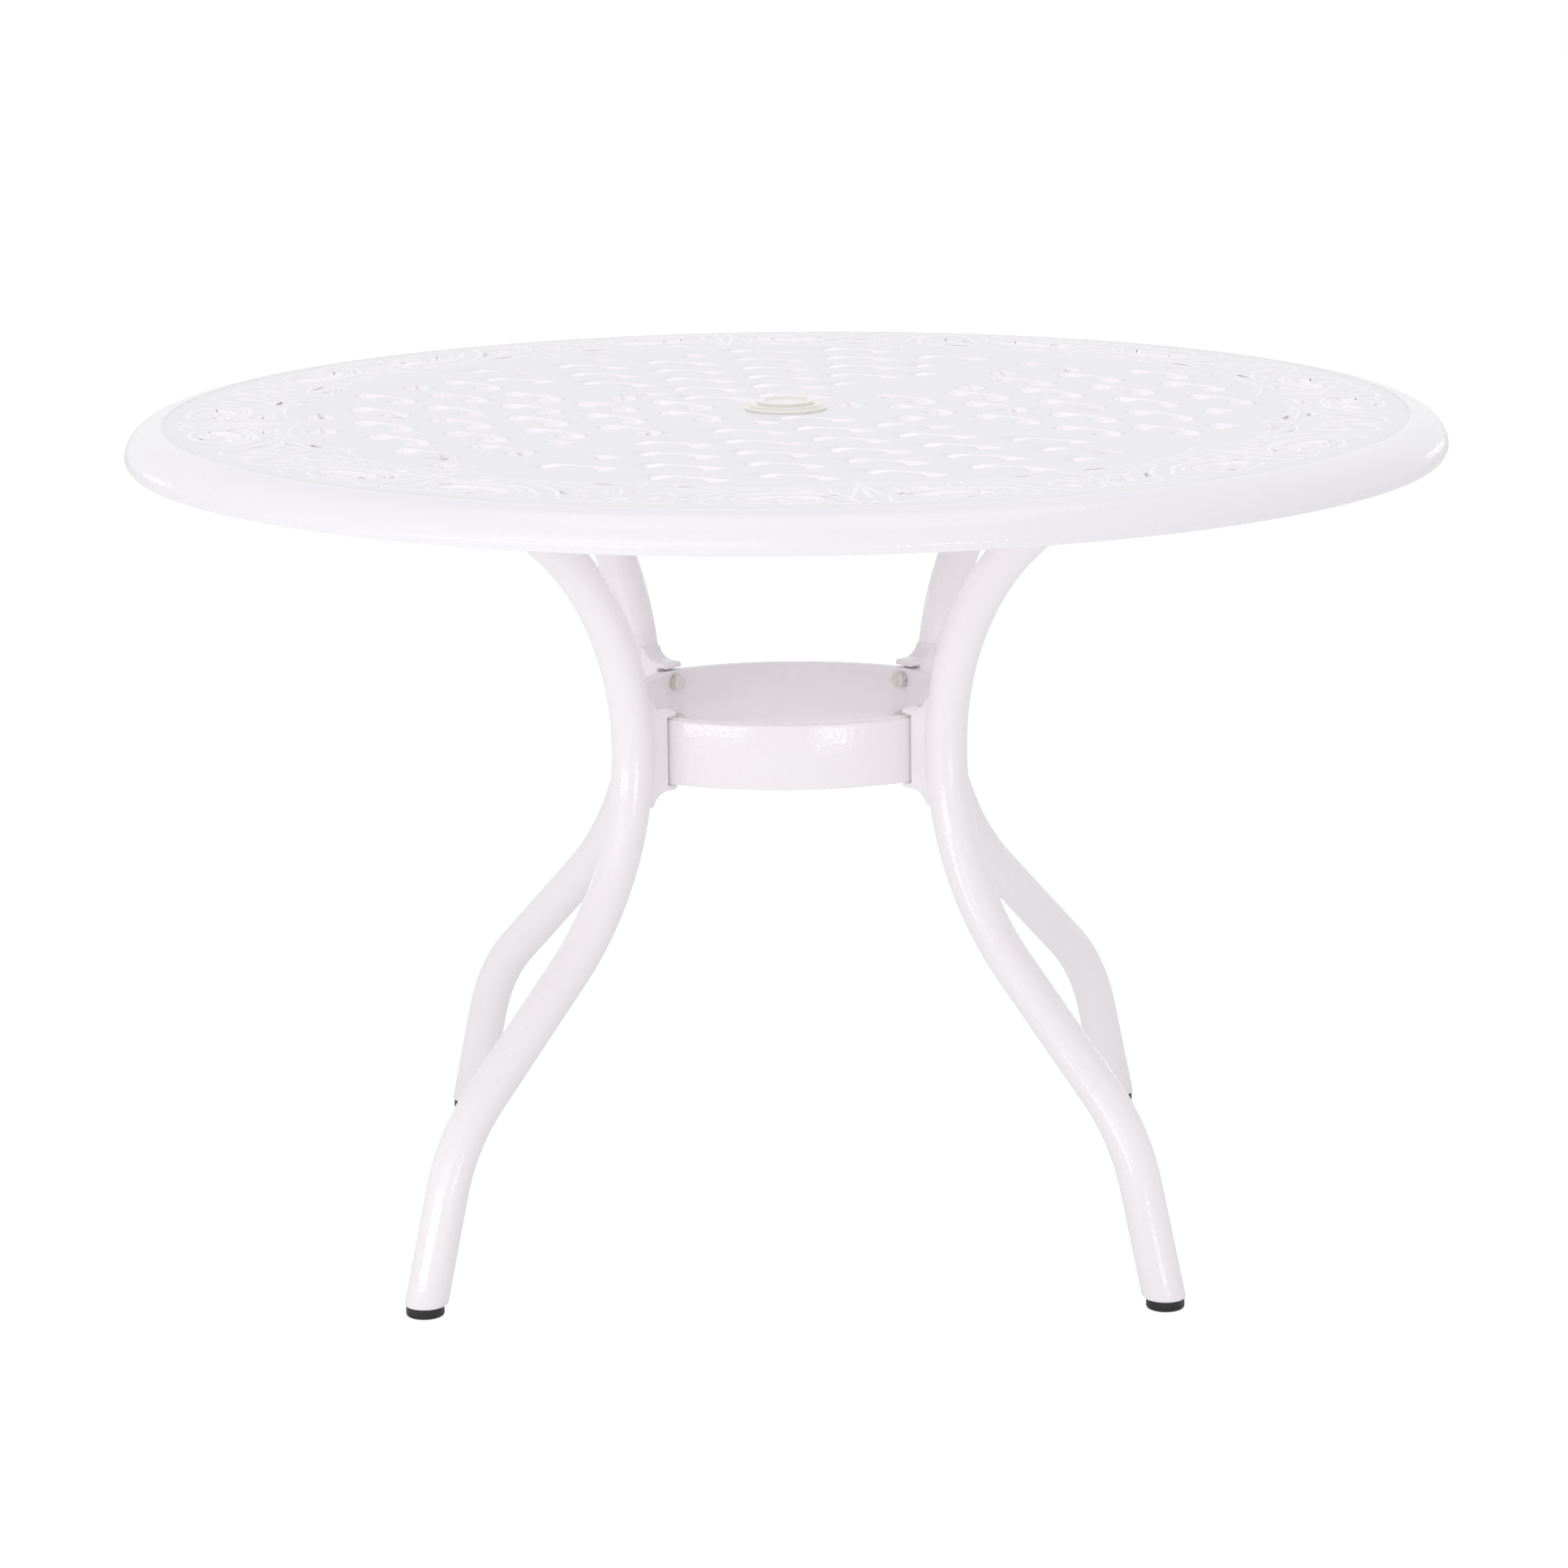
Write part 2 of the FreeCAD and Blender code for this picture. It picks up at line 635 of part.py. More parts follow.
# Foot glide: an upright foot pad with a plug up the leaning tube
def make_foot_glide():
    start = leg_stations()[0]
    turn = math.radians(start[2])
    direction = Vector(-math.sin(turn), 0, math.cos(turn))
    base = Vector(start[0], 0, start[1])
    reach = foot_reach()
    middle = reach - GLIDE_HEIGHT / 2.0 * math.tan(turn)
    pad = Part.makeCylinder(GLIDE_RADIUS, GLIDE_HEIGHT - GLIDE_EDGE, Vector(middle, 0, GLIDE_EDGE))
    sole = Part.makeCone(GLIDE_RADIUS - GLIDE_EDGE, GLIDE_RADIUS, GLIDE_EDGE, Vector(middle, 0, 0))
    plug_radius = TUBE_RADIUS - TUBE_WALL - GLIDE_CLEARANCE
    plug = Part.makeCylinder(plug_radius, TUBE_RADIUS + GLIDE_HEIGHT + GLIDE_PLUG_LENGTH, base, direction)
    half = TUBE_RADIUS + GLIDE_HEIGHT + GLIDE_PLUG_LENGTH
    above = Part.makeBox(2.0 * half, 2.0 * half, half, Vector(reach - half, -half, GLIDE_HEIGHT * 0.5))
    return cleaned(pad.fuse([sole, plug.common(above)]))


# Fasteners, made along +X from the washer's seat at X = 0 towards the head
def hex_prism(across, start, length):
    radius = across / math.sqrt(3.0)
    points = [Vector(start, radius * math.cos(math.radians(a)), radius * math.sin(math.radians(a)))
              for a in range(30, 391, 60)]
    return Part.Face(Part.makePolygon(points)).extrude(Vector(length, 0, 0))


def make_bolt(seat, reach):
    head = hex_prism(BOLT_HEAD_ACROSS, seat, BOLT_HEAD_HEIGHT)
    crown = Part.makeCone(
        BOLT_HEAD_ACROSS * 0.5 + BOLT_HEAD_HEIGHT, BOLT_HEAD_ACROSS * 0.46, BOLT_HEAD_HEIGHT,
        Vector(seat, 0, 0), Vector(1, 0, 0),
    )
    head = head.common(crown)
    shank = Part.makeCylinder(BOLT_RADIUS, reach + BOLT_HEAD_HEIGHT * 0.5, Vector(seat - reach, 0, 0), Vector(1, 0, 0))
    return cleaned(head.fuse(shank))


def make_washer(outer, seat, thickness):
    washer = Part.makeCylinder(outer, thickness, Vector(seat, 0, 0), Vector(1, 0, 0))
    hole = Part.makeCylinder(BOLT_RADIUS + WASHER_CLEARANCE, thickness, Vector(seat, 0, 0), Vector(1, 0, 0))
    return washer.cut(hole)


def make_lock_washer(seat):
    washer = make_washer(LOCK_WASHER_RADIUS, seat, LOCK_WASHER_THICKNESS)
    split = Part.makeBox(
        LOCK_WASHER_THICKNESS, LOCK_WASHER_GAP, LOCK_WASHER_RADIUS * 1.2,
        Vector(seat, -LOCK_WASHER_GAP / 2.0, 0),
    )
    return washer.cut(split)


def onto_ring(shape, angle, level):
    # +X of the fastener points at the table's axis
    copy = shape.copy()
    copy.rotate(ORIGIN, AXIS, 180.0)
    copy.translate(Vector(RING_BOLT_SEAT, 0, level))
    return turned(copy, angle)


def onto_plate(shape, spot):
    # +X of the fastener points down
    copy = shape.copy()
    copy.rotate(ORIGIN, Vector(0, 1, 0), 90.0)
    copy.translate(Vector(spot.x, spot.y, PLATE_BOTTOM))
    return copy


def on_every_ring_bolt(shape):
    return Part.makeCompound([onto_ring(shape, angle, level)
                              for angle in LEG_ANGLES.values() for level in BOLT_LEVELS])


def on_every_plate_bolt(shape):
    return Part.makeCompound([onto_plate(shape, spot)
                              for angle in LEG_ANGLES.values() for spot in bolt_spots(angle)])


def main():
    os.makedirs("parts", exist_ok=True)
    save("table_rim", make_table_rim())
    save("table_panel", make_table_panel())
    save("panel_hub", make_panel_hub())
    save("umbrella_ring", make_umbrella_ring())
    save("hole_cap", make_hole_cap())
    tube = make_leg_tube()
    plate = make_top_plate()
    bracket = make_ring_bracket()
    glide = make_foot_glide()
    for name, angle in LEG_ANGLES.items():
        save("leg_tube_" + name, turned(tube, angle))
        save("top_plate_" + name, turned(plate, angle))
        save("ring_bracket_" + name, turned(bracket, angle))
        save("foot_glide_" + name, turned(glide, angle))
    save("stretcher_ring", make_stretcher_ring())
    seat = WASHER_THICKNESS + LOCK_WASHER_THICKNESS
    plate_reach = BOSS_HOLE_TOP - 1.0 - PLATE_BOTTOM + WASHER_THICKNESS
    save("ring_bolts", on_every_ring_bolt(make_bolt(seat, BOLT_LENGTH)))
    save("ring_lock_washers", on_every_ring_bolt(make_lock_washer(WASHER_THICKNESS)))
    save("ring_flat_washers", on_every_ring_bolt(make_washer(WASHER_RADIUS, 0.0, WASHER_THICKNESS)))
    save("plate_bolts", on_every_plate_bolt(make_bolt(WASHER_THICKNESS, plate_reach)))
    save("plate_flat_washers", on_every_plate_bolt(make_washer(WASHER_RADIUS, 0.0, WASHER_THICKNESS)))
    print("plate centre radius", round(plate_centre_radius(), 2))
    print("foot reach", round(foot_reach(), 2), "foot straight", round(foot_straight(), 2))
    print("weave gaps", len(weave_wires()), "border gaps", len(border_wires()))


main()
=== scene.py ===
# %% [markdown]
# An umbrella table for a patio: a round cast top with a basket-weave pattern and a scrolled
# border, four bent tube legs tied by a stretcher ring, and a plastic ring with a cap in the
# umbrella hole. The frame holds every piece at its real size, and this file gives each
# one its finish and its fine shape.

# %% Load the frame
import math

import bmesh
import bpy
import numpy as np
from mathutils import Matrix, Vector
from mathutils.geometry import delaunay_2d_cdt


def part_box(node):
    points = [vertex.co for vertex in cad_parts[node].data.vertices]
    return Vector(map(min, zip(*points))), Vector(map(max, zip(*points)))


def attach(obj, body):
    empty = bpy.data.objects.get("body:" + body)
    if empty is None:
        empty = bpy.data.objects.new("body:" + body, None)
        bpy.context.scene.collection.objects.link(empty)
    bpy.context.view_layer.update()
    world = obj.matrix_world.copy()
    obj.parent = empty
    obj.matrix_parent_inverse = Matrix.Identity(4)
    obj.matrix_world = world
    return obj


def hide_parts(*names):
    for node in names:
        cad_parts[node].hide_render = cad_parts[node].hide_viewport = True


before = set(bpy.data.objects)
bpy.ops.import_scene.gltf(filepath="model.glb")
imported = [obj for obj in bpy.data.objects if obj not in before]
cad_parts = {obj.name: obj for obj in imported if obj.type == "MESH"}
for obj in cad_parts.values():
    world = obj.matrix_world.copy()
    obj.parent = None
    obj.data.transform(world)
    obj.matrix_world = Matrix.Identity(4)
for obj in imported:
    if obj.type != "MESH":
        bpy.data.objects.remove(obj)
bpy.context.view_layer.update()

MM = 0.001
LEG_TURNS = {"front_left": 225, "front_right": 315, "rear_left": 135, "rear_right": 45}


# %% [markdown]
# The camera stands a long way off and a little above the top, so the round top shows as a
# slim ellipse. Its place is worked out from the table's own outline in the photograph: the
# distance sets how much smaller the rear legs look, and the slight roll tips the picture.
# Aiming it at a target would be quicker, but plain angles can be compared one by one.

# %% Camera
CAMERA_BACK = 4382 * MM
CAMERA_HEIGHT = 1371 * MM
CAMERA_TURN = -0.07
CAMERA_DOWN = 12.46
CAMERA_ROLL = -0.62
FOCAL_PIXELS = 5960
PICTURE_PIXELS = 1932
SENSOR = 36.0


def make_camera():
    turn, down, roll = np.radians((CAMERA_TURN, CAMERA_DOWN, CAMERA_ROLL))
    level = math.cos(down)
    ahead = Vector((math.sin(turn) * level, math.cos(turn) * level, -math.sin(down)))
    right = Vector((math.cos(turn), -math.sin(turn), 0))
    upward = right.cross(ahead)
    right_rolled = right * math.cos(roll) + upward * math.sin(roll)
    up_rolled = upward * math.cos(roll) - right * math.sin(roll)
    data = bpy.data.cameras.new("camera")
    data.sensor_width = SENSOR
    data.lens = FOCAL_PIXELS / PICTURE_PIXELS * SENSOR
    data.clip_end = 50
    camera = bpy.data.objects.new("camera", data)
    bpy.context.collection.objects.link(camera)
    pose = Matrix((right_rolled, up_rolled, -ahead)).transposed().to_4x4()
    pose.translation = Vector((0, -CAMERA_BACK, CAMERA_HEIGHT))
    camera.matrix_world = pose
    bpy.context.scene.camera = camera
    return camera


camera = make_camera()
print("lens", round(camera.data.lens, 1), "mm")


# %% [markdown]
# The metal is covered with white powder coat. It is a thick gloss skin whose surface is
# slightly wavy, like orange peel, so a highlight breaks into small bright flecks. Roughness
# alone would smear the highlight into an even band, so a fine noise drives a bump. The group
# below makes it once, and each painted metal part uses it at its own strength.
# Three helpers keep the node code short: they start a group, join two nodes and set a
# node's inputs.

# %% Shared bump for powder coat
SOCKET = "NodeSocket"
PEEL_HEIGHT = 0.8 * MM
FINE_PEEL = 420.0
COARSE_PEEL = 260.0
PLASTIC_GRAIN = 900.0


def new_tree(kind, name, inputs, outputs):
    tree = bpy.data.node_groups.new(name, kind)
    for label, kind_of, value in inputs:
        socket = tree.interface.new_socket(label, in_out="INPUT", socket_type=SOCKET + kind_of)
        if value is not None:
            socket.default_value = value
    for label, kind_of in outputs:
        tree.interface.new_socket(label, in_out="OUTPUT", socket_type=SOCKET + kind_of)
    return tree, tree.nodes.new("NodeGroupInput"), tree.nodes.new("NodeGroupOutput")


def wire(source, output, target, entry):
    source.id_data.links.new(source.outputs[output], target.inputs[entry])


def put(node, **values):
    # an underline stands for a space in the input's name
    for label, value in values.items():
        node.inputs[label.replace("_", " ")].default_value = value
    return node


def make_orange_peel():
    group, start, end = new_tree(
        "ShaderNodeTree", "orange_peel",
        [("Peel size", "Float", FINE_PEEL), ("Strength", "Float", 0.12)],
        [("Normal", "Vector"), ("Shade", "Float")])
    nodes = group.nodes
    place = nodes.new("ShaderNodeTexCoord")
    peel = put(nodes.new("ShaderNodeTexNoise"), Detail=2.0, Roughness=0.55)
    bump = put(nodes.new("ShaderNodeBump"), Distance=PEEL_HEIGHT)
    mottle = put(nodes.new("ShaderNodeTexNoise"), Scale=7.0, Detail=3.0)
    wire(place, "Object", peel, "Vector")
    wire(place, "Object", mottle, "Vector")
    wire(start, "Peel size", peel, "Scale")
    wire(start, "Strength", bump, "Strength")
    wire(peel, "Fac", bump, "Height")
    wire(bump, "Normal", end, "Normal")
    wire(mottle, "Fac", end, "Shade")
    return group


orange_peel = make_orange_peel()
print("group", orange_peel.name)


# %% [markdown]
# Each finish is one material, except the white coat: its four copies are one paint at
# different tones, the top greyer as painted shade, and the border beads, the rim and the legs
# lighter and lilac as painted light. A coat mixes two close tones by the group's slow mottle,
# and on the top a mark on the mesh picks out the walls of the gaps, which get a lighter,
# pinker colour as painted light. The plastics are made the same way with a finer grain, and
# the zinc has a fine change of tone and of roughness. All of it reads object coordinates, so
# the grain has its real size on every piece.

# %% Materials
# the lighter, pinker colour of the gap walls, painted light for the front light they catch
PAINTED_WALL_LIGHT = (0.97, 0.94, 0.975)
PLASTIC_SHADE = 0.8


def new_material(name):
    material = bpy.data.materials.new(name)
    material.use_nodes = True
    return material, material.node_tree.nodes


def colour_mix(nodes, **colours):
    mix = nodes.new("ShaderNodeMix")
    mix.data_type = "RGBA"
    return put(mix, **{socket: (*colour, 1) for socket, colour in colours.items()})


def add_painted_wall_light(nodes, tone, colour):
    # the walls of the gaps get a lighter, pinker colour than the face: painted light for the
    # front light they catch
    wall = nodes.new("ShaderNodeAttribute")
    wall.attribute_name = "gap_wall"
    wall_light_mix = colour_mix(nodes, B=colour)
    wire(wall, "Fac", wall_light_mix, "Factor")
    wire(tone, "Result", wall_light_mix, "A")
    return wall_light_mix


def coated(name, light, dark, roughness, strength, peel_size, wall_light=None):
    material, nodes = new_material(name)
    shader = put(nodes["Principled BSDF"], Roughness=roughness)
    peel = nodes.new("ShaderNodeGroup")
    peel.node_tree = orange_peel
    put(peel, Strength=strength, Peel_size=peel_size)
    tone = colour_mix(nodes, A=light, B=dark)
    wire(peel, "Shade", tone, "Factor")
    last = add_painted_wall_light(nodes, tone, wall_light) if wall_light else tone
    wire(last, "Result", shader, "Base Color")
    wire(peel, "Normal", shader, "Normal")
    return material


def plain_plastic(name, colour, roughness, grain):
    dark = [value * PLASTIC_SHADE for value in colour]
    return coated(name, colour, dark, roughness, grain, PLASTIC_GRAIN)


def clear_plastic(name, colour, transmission):
    material = plain_plastic(name, colour, 0.18, 0.015)
    shader = material.node_tree.nodes["Principled BSDF"]
    put(shader, Transmission_Weight=transmission, IOR=1.49)
    return material


def zinc_plate(name):
    material, nodes = new_material(name)
    shader = put(nodes["Principled BSDF"], Metallic=1.0)
    place = nodes.new("ShaderNodeTexCoord")
    grain = put(nodes.new("ShaderNodeTexNoise"), Scale=260.0)
    wire(place, "Object", grain, "Vector")
    tone = colour_mix(nodes, A=(0.84, 0.82, 0.78), B=(0.62, 0.60, 0.57))
    rough = put(nodes.new("ShaderNodeMapRange"), To_Min=0.22, To_Max=0.42)
    wire(grain, "Fac", tone, "Factor")
    wire(grain, "Fac", rough, "Value")
    wire(tone, "Result", shader, "Base Color")
    wire(rough, "Result", shader, "Roughness")
    return material


# each coat: its light and dark tones, its roughness and the strength and fineness of its peel;
# the four white coats are one paint, the top's greyer as painted shade and the others lighter
# and lilac as painted light
top_coat_painted_shade = coated("top_powder_coat", (0.80, 0.795, 0.815), (0.785, 0.78, 0.80),
                   0.34, 0.11, FINE_PEEL, PAINTED_WALL_LIGHT)
edge_coat_painted_light = coated("edge_powder_coat", (0.915, 0.89, 0.93), (0.895, 0.87, 0.91),
                    0.30, 0.11, FINE_PEEL)
rim_coat_painted_light = coated("rim_powder_coat", (0.835, 0.815, 0.855), (0.82, 0.80, 0.845),
                   0.10, 0.50, COARSE_PEEL)
leg_coat_painted_light = coated("leg_powder_coat", (0.87, 0.832, 0.858), (0.85, 0.812, 0.838),
                   0.13, 0.32, COARSE_PEEL)
ring_plastic = clear_plastic("umbrella_ring_plastic", (0.97, 0.945, 0.90), 0.06)
glide_plastic = plain_plastic("black_glide_plastic", (0.012, 0.012, 0.013), 0.45, 0.025)
zinc = zinc_plate("bright_zinc")
print("materials", len(bpy.data.materials))


# %% [markdown]
# Most turned pieces share one helper: a profile of radius and height pairs is carried round
# the table's upright axis. A Screw modifier could do that too, but here the points that meet
# on the axis are merged, so a disc has a clean middle. Points on an arc come from a formula,
# so each corner is round.

# %% Turning helper
def as_piece(name, mesh, material, body, slot, *nodes):
    piece = bpy.data.objects.new(name, mesh)
    bpy.context.collection.objects.link(piece)
    mesh.materials.clear()
    mesh.materials.append(material)
    if nodes:
        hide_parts(*nodes)
    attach(piece, body)


def arc(centre, radii, start, end, steps=30):
    return [(centre[0] + radii[0] * math.cos(angle), centre[1] + radii[1] * math.sin(angle))
            for angle in np.radians(np.linspace(start, end, steps))]


def soft_corner(radius, height, soft, start, end, steps):
    return arc((radius, height), (soft, soft), start, end, steps)


def turned_mesh(name, profile, segments):
    mesh = bmesh.new()
    rings = []
    for step in range(segments):
        angle = 2 * math.pi * step / segments
        x, y = math.cos(angle), math.sin(angle)
        rings.append([mesh.verts.new((r * x, r * y, z)) for r, z in profile])
    count = len(profile)
    for step in range(segments):
        here, after = rings[step], rings[(step + 1) % segments]
        for index in range(count):
            following = (index + 1) % count
            mesh.faces.new((here[index], after[index], after[following], here[following]))
    bmesh.ops.remove_doubles(mesh, verts=mesh.verts, dist=1e-7)
    bmesh.ops.dissolve_degenerate(mesh, edges=mesh.edges, dist=1e-7)
    bmesh.ops.recalc_face_normals(mesh, faces=mesh.faces)
    return finished(mesh, name)


def finished(mesh, name, sharp_angle=38):
    data = bpy.data.meshes.new(name)
    mesh.to_mesh(data)
    mesh.free()
    data.shade_smooth()
    data.set_sharp_from_angle(angle=math.radians(sharp_angle))
    return data


# %% [markdown]
# The rim is the rolled outer edge. Its crease, where it meets the pierced panel, is a fine
# groove, and its shoulder falls away in a quarter ellipse to a skirt that is tucked in. A
# flattened torus would lose the crease and the skirt, so the section is drawn and turned.

# %% Rim of the top
rim_low, rim_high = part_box("table_rim")
TOP_Z = rim_high[2]
RIM_BOTTOM = rim_low[2]
TOP_RADIUS = 600 * MM
CREASE_RADIUS = 565 * MM
SHOULDER_WIDTH = 35 * MM
SHOULDER_DROP = 28 * MM
RIM_WALL = 5 * MM
RIM_TUCK = 2 * MM
PANEL_THICKNESS = 4 * MM
LEDGE_INNER = 544 * MM
LEDGE_THICKNESS = 4 * MM
CREASE_DEPTH = 1.1 * MM
CREASE_SOFT = 1.6 * MM


def rim_profile():
    shoulder_centre = (TOP_RADIUS - SHOULDER_WIDTH, TOP_Z - SHOULDER_DROP)
    ledge_top = TOP_Z - PANEL_THICKNESS
    skirt_out = TOP_RADIUS - RIM_TUCK
    skirt_in = skirt_out - RIM_WALL
    crease_bottom = TOP_Z - CREASE_DEPTH
    crease_centre = (CREASE_RADIUS + CREASE_SOFT, crease_bottom)
    ledge_bottom = ledge_top - LEDGE_THICKNESS
    profile = [(LEDGE_INNER, ledge_top), (CREASE_RADIUS, ledge_top)]
    profile += [(CREASE_RADIUS, crease_bottom)]
    profile += arc(crease_centre, (CREASE_SOFT, CREASE_DEPTH), 170, 100, 5)
    profile += arc(shoulder_centre, (SHOULDER_WIDTH, SHOULDER_DROP), 86, 0, 16)
    profile += soft_corner(skirt_out - 2 * MM, RIM_BOTTOM + 2 * MM, 2 * MM, 0, -90, 6)
    profile += soft_corner(skirt_in + 1.5 * MM, RIM_BOTTOM + 1.5 * MM, 1.5 * MM, -90, -180, 5)
    profile += [(TOP_RADIUS - RIM_WALL, TOP_Z - SHOULDER_DROP)]
    profile += [(CREASE_RADIUS + SHOULDER_WIDTH / 4, ledge_bottom), (LEDGE_INNER, ledge_bottom)]
    return profile


rim = turned_mesh("rim", rim_profile(), 288)
as_piece("rim", rim, rim_coat_painted_light, "table", "white_powder_coat", "table_rim")
print("rim faces", len(rim.polygons))


# %% [markdown]
# The panel looks woven. Each slanted gap is a slot that is wide at both ends, where one
# strip dives under the next. The gaps of the front and rear quarters lie as drawn, and the
# side quarters are their mirror about the diagonal. Where a whole gap doesn't fit, the half
# of it that does is kept. Drawing each gap by hand would take long and gain little, because
# they all follow one lattice. The places are in millimetres, seen from above.

# %% Layout of the woven gaps
WEAVE_TURN = 9.0
BORDER_TURN = 7.5
WEAVE_RADIUS = 440.0
WEAVE_CLEAR_OF_HUB = 43.0
# first row, row pitch and column shift of the right, rear, left and front quarters
WEAVE_QUARTERS = [
    (57.3, 69.9, -22.2), (27.6, 64.7, -47.3), (83.9, 69.5, -14.5), (62.4, 66.1, -50.2),
]
WEAVE_COLUMN_PITCH = 65.0
WEAVE_COLUMN_SPREAD = 0.066
WEAVE_ROW_SAG = 0.0006
WEAVE_SEAM = 2.0
WEAVE_GAP = [
    (-31.0, 20.0), (3.0, 3.5), (33.0, -22.0), (15.0, -31.5),
    (13.0, -12.0), (0.0, -2.5), (-15.0, 7.0), (-30.0, -6.0),
]
WEAVE_HALF_GAPS = [
    [(-31.0, 20.0), (-2.0, 6.0), (-15.0, 7.0), (-30.0, -6.0)],
    [(3.0, 3.5), (33.0, -22.0), (15.0, -31.5), (13.0, -12.0)],
]
# each dive: where the strip starts to sink, the wide end it sinks to, and one side of that end
WEAVE_DIVES = [
    [(-56.0, 8.0), (-30.0, 7.0), (-31.0, 20.0)],
    [(-12.0, -21.0), (14.0, -21.5), (13.0, -11.0)],
]


def placed_gap(outline, out, side, quarter):
    x, y = [(out, side), (side, out), (-out, side), (side, -out)][quarter]
    if quarter % 2:
        return [(x + across, y + along) for across, along in outline]
    return [(x + along, y + across) for across, along in outline]


def inside_weave(points, quarter):
    for x, y in points:
        distance = math.hypot(x, y)
        out, across = [(x, y), (y, x), (-x, y), (-y, x)][quarter]
        if not WEAVE_CLEAR_OF_HUB <= distance <= WEAVE_RADIUS:
            return False
        if abs(across) > out - WEAVE_SEAM:
            return False
    return True


def weave_layout():
    gaps, dives = [], []
    for quarter, (first_row, row_pitch, column_shift) in enumerate(WEAVE_QUARTERS):
        for row in range(int((WEAVE_RADIUS - first_row) / row_pitch) + 2):
            out = first_row + row * row_pitch
            pitch = WEAVE_COLUMN_PITCH + WEAVE_COLUMN_SPREAD * out
            count = int(out / pitch) + 2
            for column in range(-count, count + 1):
                side = column * pitch + column_shift
                place = out - WEAVE_ROW_SAG * side * side
                whole = placed_gap(WEAVE_GAP, place, side, quarter)
                halves = [placed_gap(half, place, side, quarter) for half in WEAVE_HALF_GAPS]
                choices = [whole] if inside_weave(whole, quarter) else halves
                kept = [points for points in choices if inside_weave(points, quarter)]
                gaps += kept
                for half, dive in zip(halves, WEAVE_DIVES):
                    if kept == [whole] or half in kept:
                        dives.append(placed_gap(dive, place, side, quarter))
    return gaps, dives


def turn_points(points, degrees):
    c, s = math.cos(math.radians(degrees)), math.sin(math.radians(degrees))
    return [(x * c - y * s, x * s + y * c) for x, y in points]


drawn_gaps, drawn_dives = weave_layout()
weave_gaps = [turn_points(gap, WEAVE_TURN) for gap in drawn_gaps]
weave_dives = [turn_points(dive, WEAVE_TURN) for dive in drawn_dives]
print("woven gaps", len(weave_gaps), "dives", len(weave_dives))


# %% [markdown]
# The border's gaps follow its scrolls. There are eight units, each mirrored about its middle.
# A gap is a lozenge placed by angle and radius, or the crescent round the eye of a volute.

# %% Layout of the border gaps
BORDER_UNITS = 8
UNIT_ANGLE = 360.0 / BORDER_UNITS
VOLUTE = (7.7, 520.0)
CRESCENT = (34.0, 20.0)
EYE = (17.0, 10.0)
EYE_SHIFT = 3.0
# each gap: its angle, radius, length, width and lean
BORDER_AXIS_GAP = (22.5, 494.0, 32.0, 10.0, 0.0)
BORDER_SIDE_GAPS = [
    (13.2, 507.0, 24.0, 6.0, 42.0),
    (16.4, 507.0, 28.0, 5.0, 38.0),
    (19.3, 517.0, 34.0, 15.0, 8.0),
    (3.5, 505.0, 11.0, 16.0, -12.0),
    (5.7, 476.0, 16.0, 28.0, 0.0),
    (2.9, 533.0, 12.0, 8.0, 14.0),
    (8.8, 537.0, 6.0, 14.0, 0.0),
    (16.4, 476.0, 9.0, 30.0, -6.0),
    (18.2, 455.0, 12.0, 30.0, -4.0),
]


def border_gap(angle, radius, length, width, lean):
    half, waist = length / 2, width / 2
    corners = turn_points([(half, 0.0), (0.0, waist), (-half, 0.0), (0.0, -waist)], lean)
    return turn_points([(radius + out, across) for out, across in corners], angle)


def crescent_gap(angle, side):
    outer = arc((0.0, 0.0), CRESCENT, 165, 375, 9)
    inner = arc((EYE_SHIFT, EYE_SHIFT), EYE, 165, 375, 9)[-2:0:-1]
    points = [(VOLUTE[1] + out, side * along) for along, out in outer + inner]
    return turn_points(points, angle + side * VOLUTE[0])


def border_layout():
    gaps = []
    for unit in range(BORDER_UNITS):
        base = UNIT_ANGLE * unit
        gaps += [crescent_gap(base, 1), crescent_gap(base, -1)]
        gaps.append(border_gap(base + BORDER_AXIS_GAP[0], *BORDER_AXIS_GAP[1:]))
        for angle, radius, length, width, lean in BORDER_SIDE_GAPS:
            gaps.append(border_gap(base + angle, radius, length, width, lean))
            gaps.append(border_gap(base - angle, radius, length, width, -lean))
    return gaps


border_gaps = [turn_points(gap, BORDER_TURN) for gap in border_layout()]
print("border gaps", len(border_gaps))


# %% [markdown]
# A corner-cutting pass, done twice, rounds each drawn outline without moving it, and each
# woven slot opens a little at the face, as a soft cast edge does. Below the face the walls
# lean in, so each gap has a narrower outline underneath.

# %% Outlines of the gaps
WEAVE_CUT = 0.12
BORDER_CUT = 0.16
SLOT_EASE = 1.3
DRAFT_SHARE = 0.26
MOST_DRAFT = 3.6


def rounded(outline, share):
    points = [np.array(point) for point in outline]
    for _ in range(2):
        cut = []
        for here, after in zip(points, points[1:] + points[:1]):
            cut += [here * (1 - share) + after * share, here * share + after * (1 - share)]
        points = cut
    return np.array(points)


def inward_normals(outline):
    ahead, behind = np.roll(outline, -1, axis=0), np.roll(outline, 1, axis=0)
    along = ahead - behind
    along /= np.hypot(*along.T)[:, None]
    area = (outline[:, 0] * ahead[:, 1] - ahead[:, 0] * outline[:, 1]).sum()
    return np.column_stack([-along[:, 1], along[:, 0]]) * (1 if area > 0 else -1)


def eased(outline):
    return outline - inward_normals(outline) * SLOT_EASE


